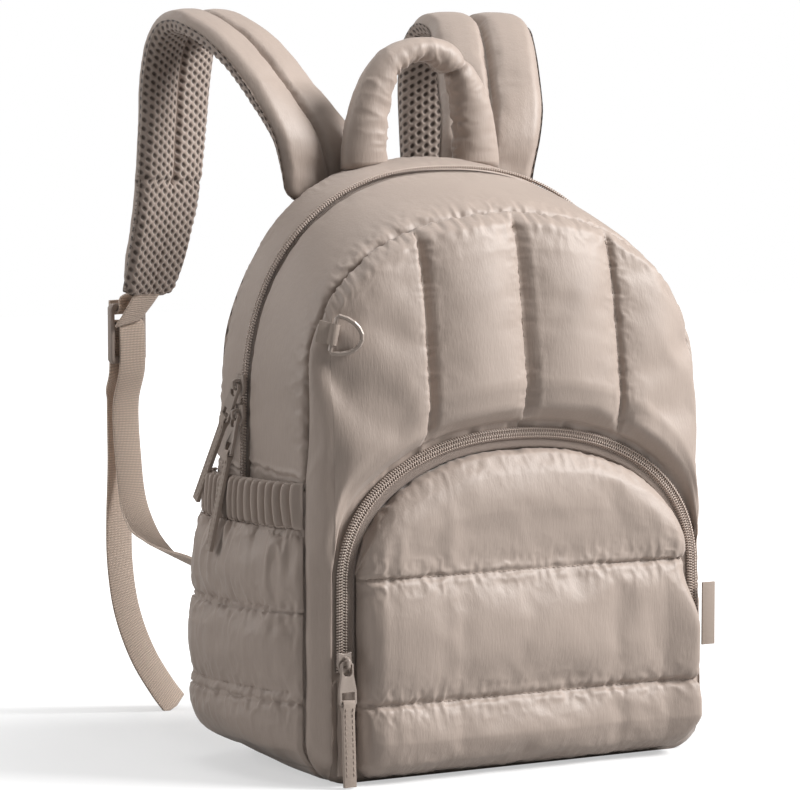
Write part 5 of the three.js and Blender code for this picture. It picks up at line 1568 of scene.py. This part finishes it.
hardware = {
    "steps": 3, "bevelAngle": 35, "sharpAngle": 50, "slider": 0.35, "pull": 0.5, "tab": 0.3, "lock": 0.9, "label": 0.25,
}
pulls = ("front", "main_upper", "main_lower")


def roundOver(name, finish, width, slot=None):
    source = frame["nodes"][name]
    thing = source.copy()
    thing.data = source.data.copy()
    thing.name = name + "Round"
    bpy.context.scene.collection.objects.link(thing)
    for key in list(thing.keys()):
        del thing[key]
    thing.parent = None
    work = bmesh.new()
    work.from_mesh(thing.data)
    bmesh.ops.remove_doubles(work, verts=work.verts, dist=0.00001)
    bmesh.ops.dissolve_limit(work, angle_limit=0.02, verts=work.verts, edges=work.edges)
    least = np.radians(hardware["bevelAngle"])
    sharp = [edge for edge in work.edges if len(edge.link_faces) == 2 and edge.calc_face_angle(0) > least]
    bmesh.ops.bevel(work, geom=sharp, offset=width * mm, segments=hardware["steps"], affect="EDGES", profile=0.5,
                    clamp_overlap=True)
    bmesh.ops.triangulate(work, faces=work.faces)
    # the cloth's uv, laid flat on each face
    layer = work.loops.layers.uv.new("cloth")
    for face in work.faces:
        flat = np.argsort(np.abs(np.array(face.normal)))[:2]
        for loop in face.loops:
            loop[layer].uv = [loop.vert.co[flat[1]] * 10, loop.vert.co[flat[0]] * 10]
    work.to_mesh(thing.data)
    work.free()
    thing.data.polygons.foreach_set("use_smooth", [True] * len(thing.data.polygons))
    thing.data.set_sharp_from_angle(angle=np.radians(hardware["sharpAngle"]))
    return dress(thing, finish, bodyOf[name], name, slot=slot)


print("hardware")
bodyOf = {name: thing["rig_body"] for name, thing in frame["nodes"].items()}
for pull in pulls:
    roundOver(f"{pull}_slider", "metal", hardware["slider"])
    roundOver(f"{pull}_pull", "metal", hardware["pull"])
    roundOver(f"{pull}_pull_tab", "trim", hardware["tab"], "webbing")
for side in ("left", "right"):
    roundOver(f"ladder_lock_{side}", "plastic", hardware["lock"])


# Two rows of thread down the face of a pull's tab, from the corners of its own box.
def stitchTab(name):
    mesh = frame["nodes"][name].data
    spots = np.array([corner.co for corner in mesh.vertices]) / mm
    centre = spots.mean(axis=0)
    long, wide, thin = np.linalg.svd(spots - centre, full_matrices=False)[2]
    if thin @ np.array([-0.5, -0.85, 0.1]) < 0:
        thin = -thin
    reach = [np.abs((spots - centre) @ way).max() for way in (long, wide)]
    tree = BVHTree.FromPolygons([corner.co for corner in mesh.vertices], [face.vertices for face in mesh.polygons])
    for k, share in enumerate((-0.6, 0.6)):
        line = []
        for t in np.linspace(-0.95, 0.95, 25):
            above = centre + long * reach[0] * t + wide * reach[1] * share + thin * 30
            hit = tree.ray_cast(Vector(above * mm), Vector(-thin))
            if hit[0] is not None:
                line.append(np.array(hit[0]) / mm)
        line = np.array(line)
        addStitches(f"{name}_stitches{k}", line, np.broadcast_to(thin, line.shape), bodyOf[name], "webbing")


for pull in pulls:
    stitchTab(f"{pull}_pull_tab")
roundOver("d_ring_tab", "trim", hardware["tab"], "webbing")
roundOver("side_label", "trim", hardware["label"], "webbing")


# Nodes that stay solids of the frame take their own slot's finish

slotOf = {row["node"]: row["material_slot"] for row in frame["record"]["subparts"]}
for name, thing in frame["nodes"].items():
    if not thing.hide_render:
        thing.data.materials.clear()
        thing.data.materials.append(finishes[slotOf[name]])


# Floor, light and camera, in metres

studio = {
    "camera": (-1.0765, -1.7997, 0.3807), "target": (-0.0276, 0.017, 0.206), "lens": 162, "sensor": 36, "ambient": 0.12,
    "floorHalf": 4, "floorColour": (0.45, 0.45, 0.45), "floorPale": (0.2, 0.6), "lightTarget": (0, 0, 0.2),
    "lights": (
        ("key", (2.05, -1.45, 1.9), 1.2, 171),
        ("top", (-0.1, 0.1, 2.4), 1.4, 18),
        ("fill", (-2.1, 0.9, 1.1), 1.1, 21),
        ("rear", (-0.5, 2.3, 1.6), 1.2, 8),
    ),
}


def aimed(thing, place, target):
    bpy.context.scene.collection.objects.link(thing)
    thing.location = place
    thing.rotation_euler = (Vector(target) - Vector(place)).to_track_quat("-Z", "Y").to_euler()
    return thing


# A floor that pales to the white of the backdrop away from the bag.
def addFloor():
    half = studio["floorHalf"] / mm
    corners = [(-half, -half, 0), (half, -half, 0), (half, half, 0), (-half, half, 0)]
    floor = makeMesh("floor", np.array(corners), [[0, 1, 2, 3]])
    material, tree, shader = startMaterial("studioFloor", studio["floorColour"], 0.9)
    place = node(tree, "TexCoord").outputs["Object"]
    reach = node(tree, "VectorMath", {0: place}, operation="LENGTH").outputs["Value"]
    near, far = studio["floorPale"]
    pale = node(tree, "MapRange", {"Value": reach, "From Min": near, "From Max": far, "To Min": 0.5, "To Max": 1.0},
                interpolation_type="SMOOTHSTEP")
    seen = maths(tree, "MULTIPLY", pale.outputs[0], node(tree, "LightPath").outputs["Is Camera Ray"])
    shader.inputs["Emission Color"].default_value = (1, 1, 1, 1)
    tree.links.new(seen, shader.inputs["Emission Strength"])
    floor.data.materials.append(material)


def addWorld():
    world = bpy.data.worlds.new("studio")
    bpy.context.scene.world = world
    world.use_nodes = True
    tree = world.node_tree
    # white behind the bag, and a dim even light on it
    seen, lit = tree.nodes["Background"], tree.nodes.new("ShaderNodeBackground")
    seen.inputs[0].default_value = lit.inputs[0].default_value = (1, 1, 1, 1)
    seen.inputs[1].default_value, lit.inputs[1].default_value = 1.0, studio["ambient"]
    rays, blend = tree.nodes.new("ShaderNodeLightPath"), tree.nodes.new("ShaderNodeMixShader")
    tree.links.new(rays.outputs["Is Camera Ray"], blend.inputs[0])
    tree.links.new(lit.outputs[0], blend.inputs[1])
    tree.links.new(seen.outputs[0], blend.inputs[2])
    tree.links.new(blend.outputs[0], tree.nodes["World Output"].inputs[0])


def addStudio():
    lens = bpy.data.cameras.new("camera")
    lens.lens, lens.sensor_width = studio["lens"], studio["sensor"]
    bpy.context.scene.camera = aimed(bpy.data.objects.new("camera", lens), studio["camera"], studio["target"])
    addFloor()
    for name, place, size, power in studio["lights"]:
        light = bpy.data.lights.new(name, "AREA")
        light.size, light.energy = size, power
        aimed(bpy.data.objects.new(name, light), place, studio["lightTarget"])
    addWorld()
    bpy.context.scene.view_settings.view_transform = "Standard"


print("studio")
addStudio()
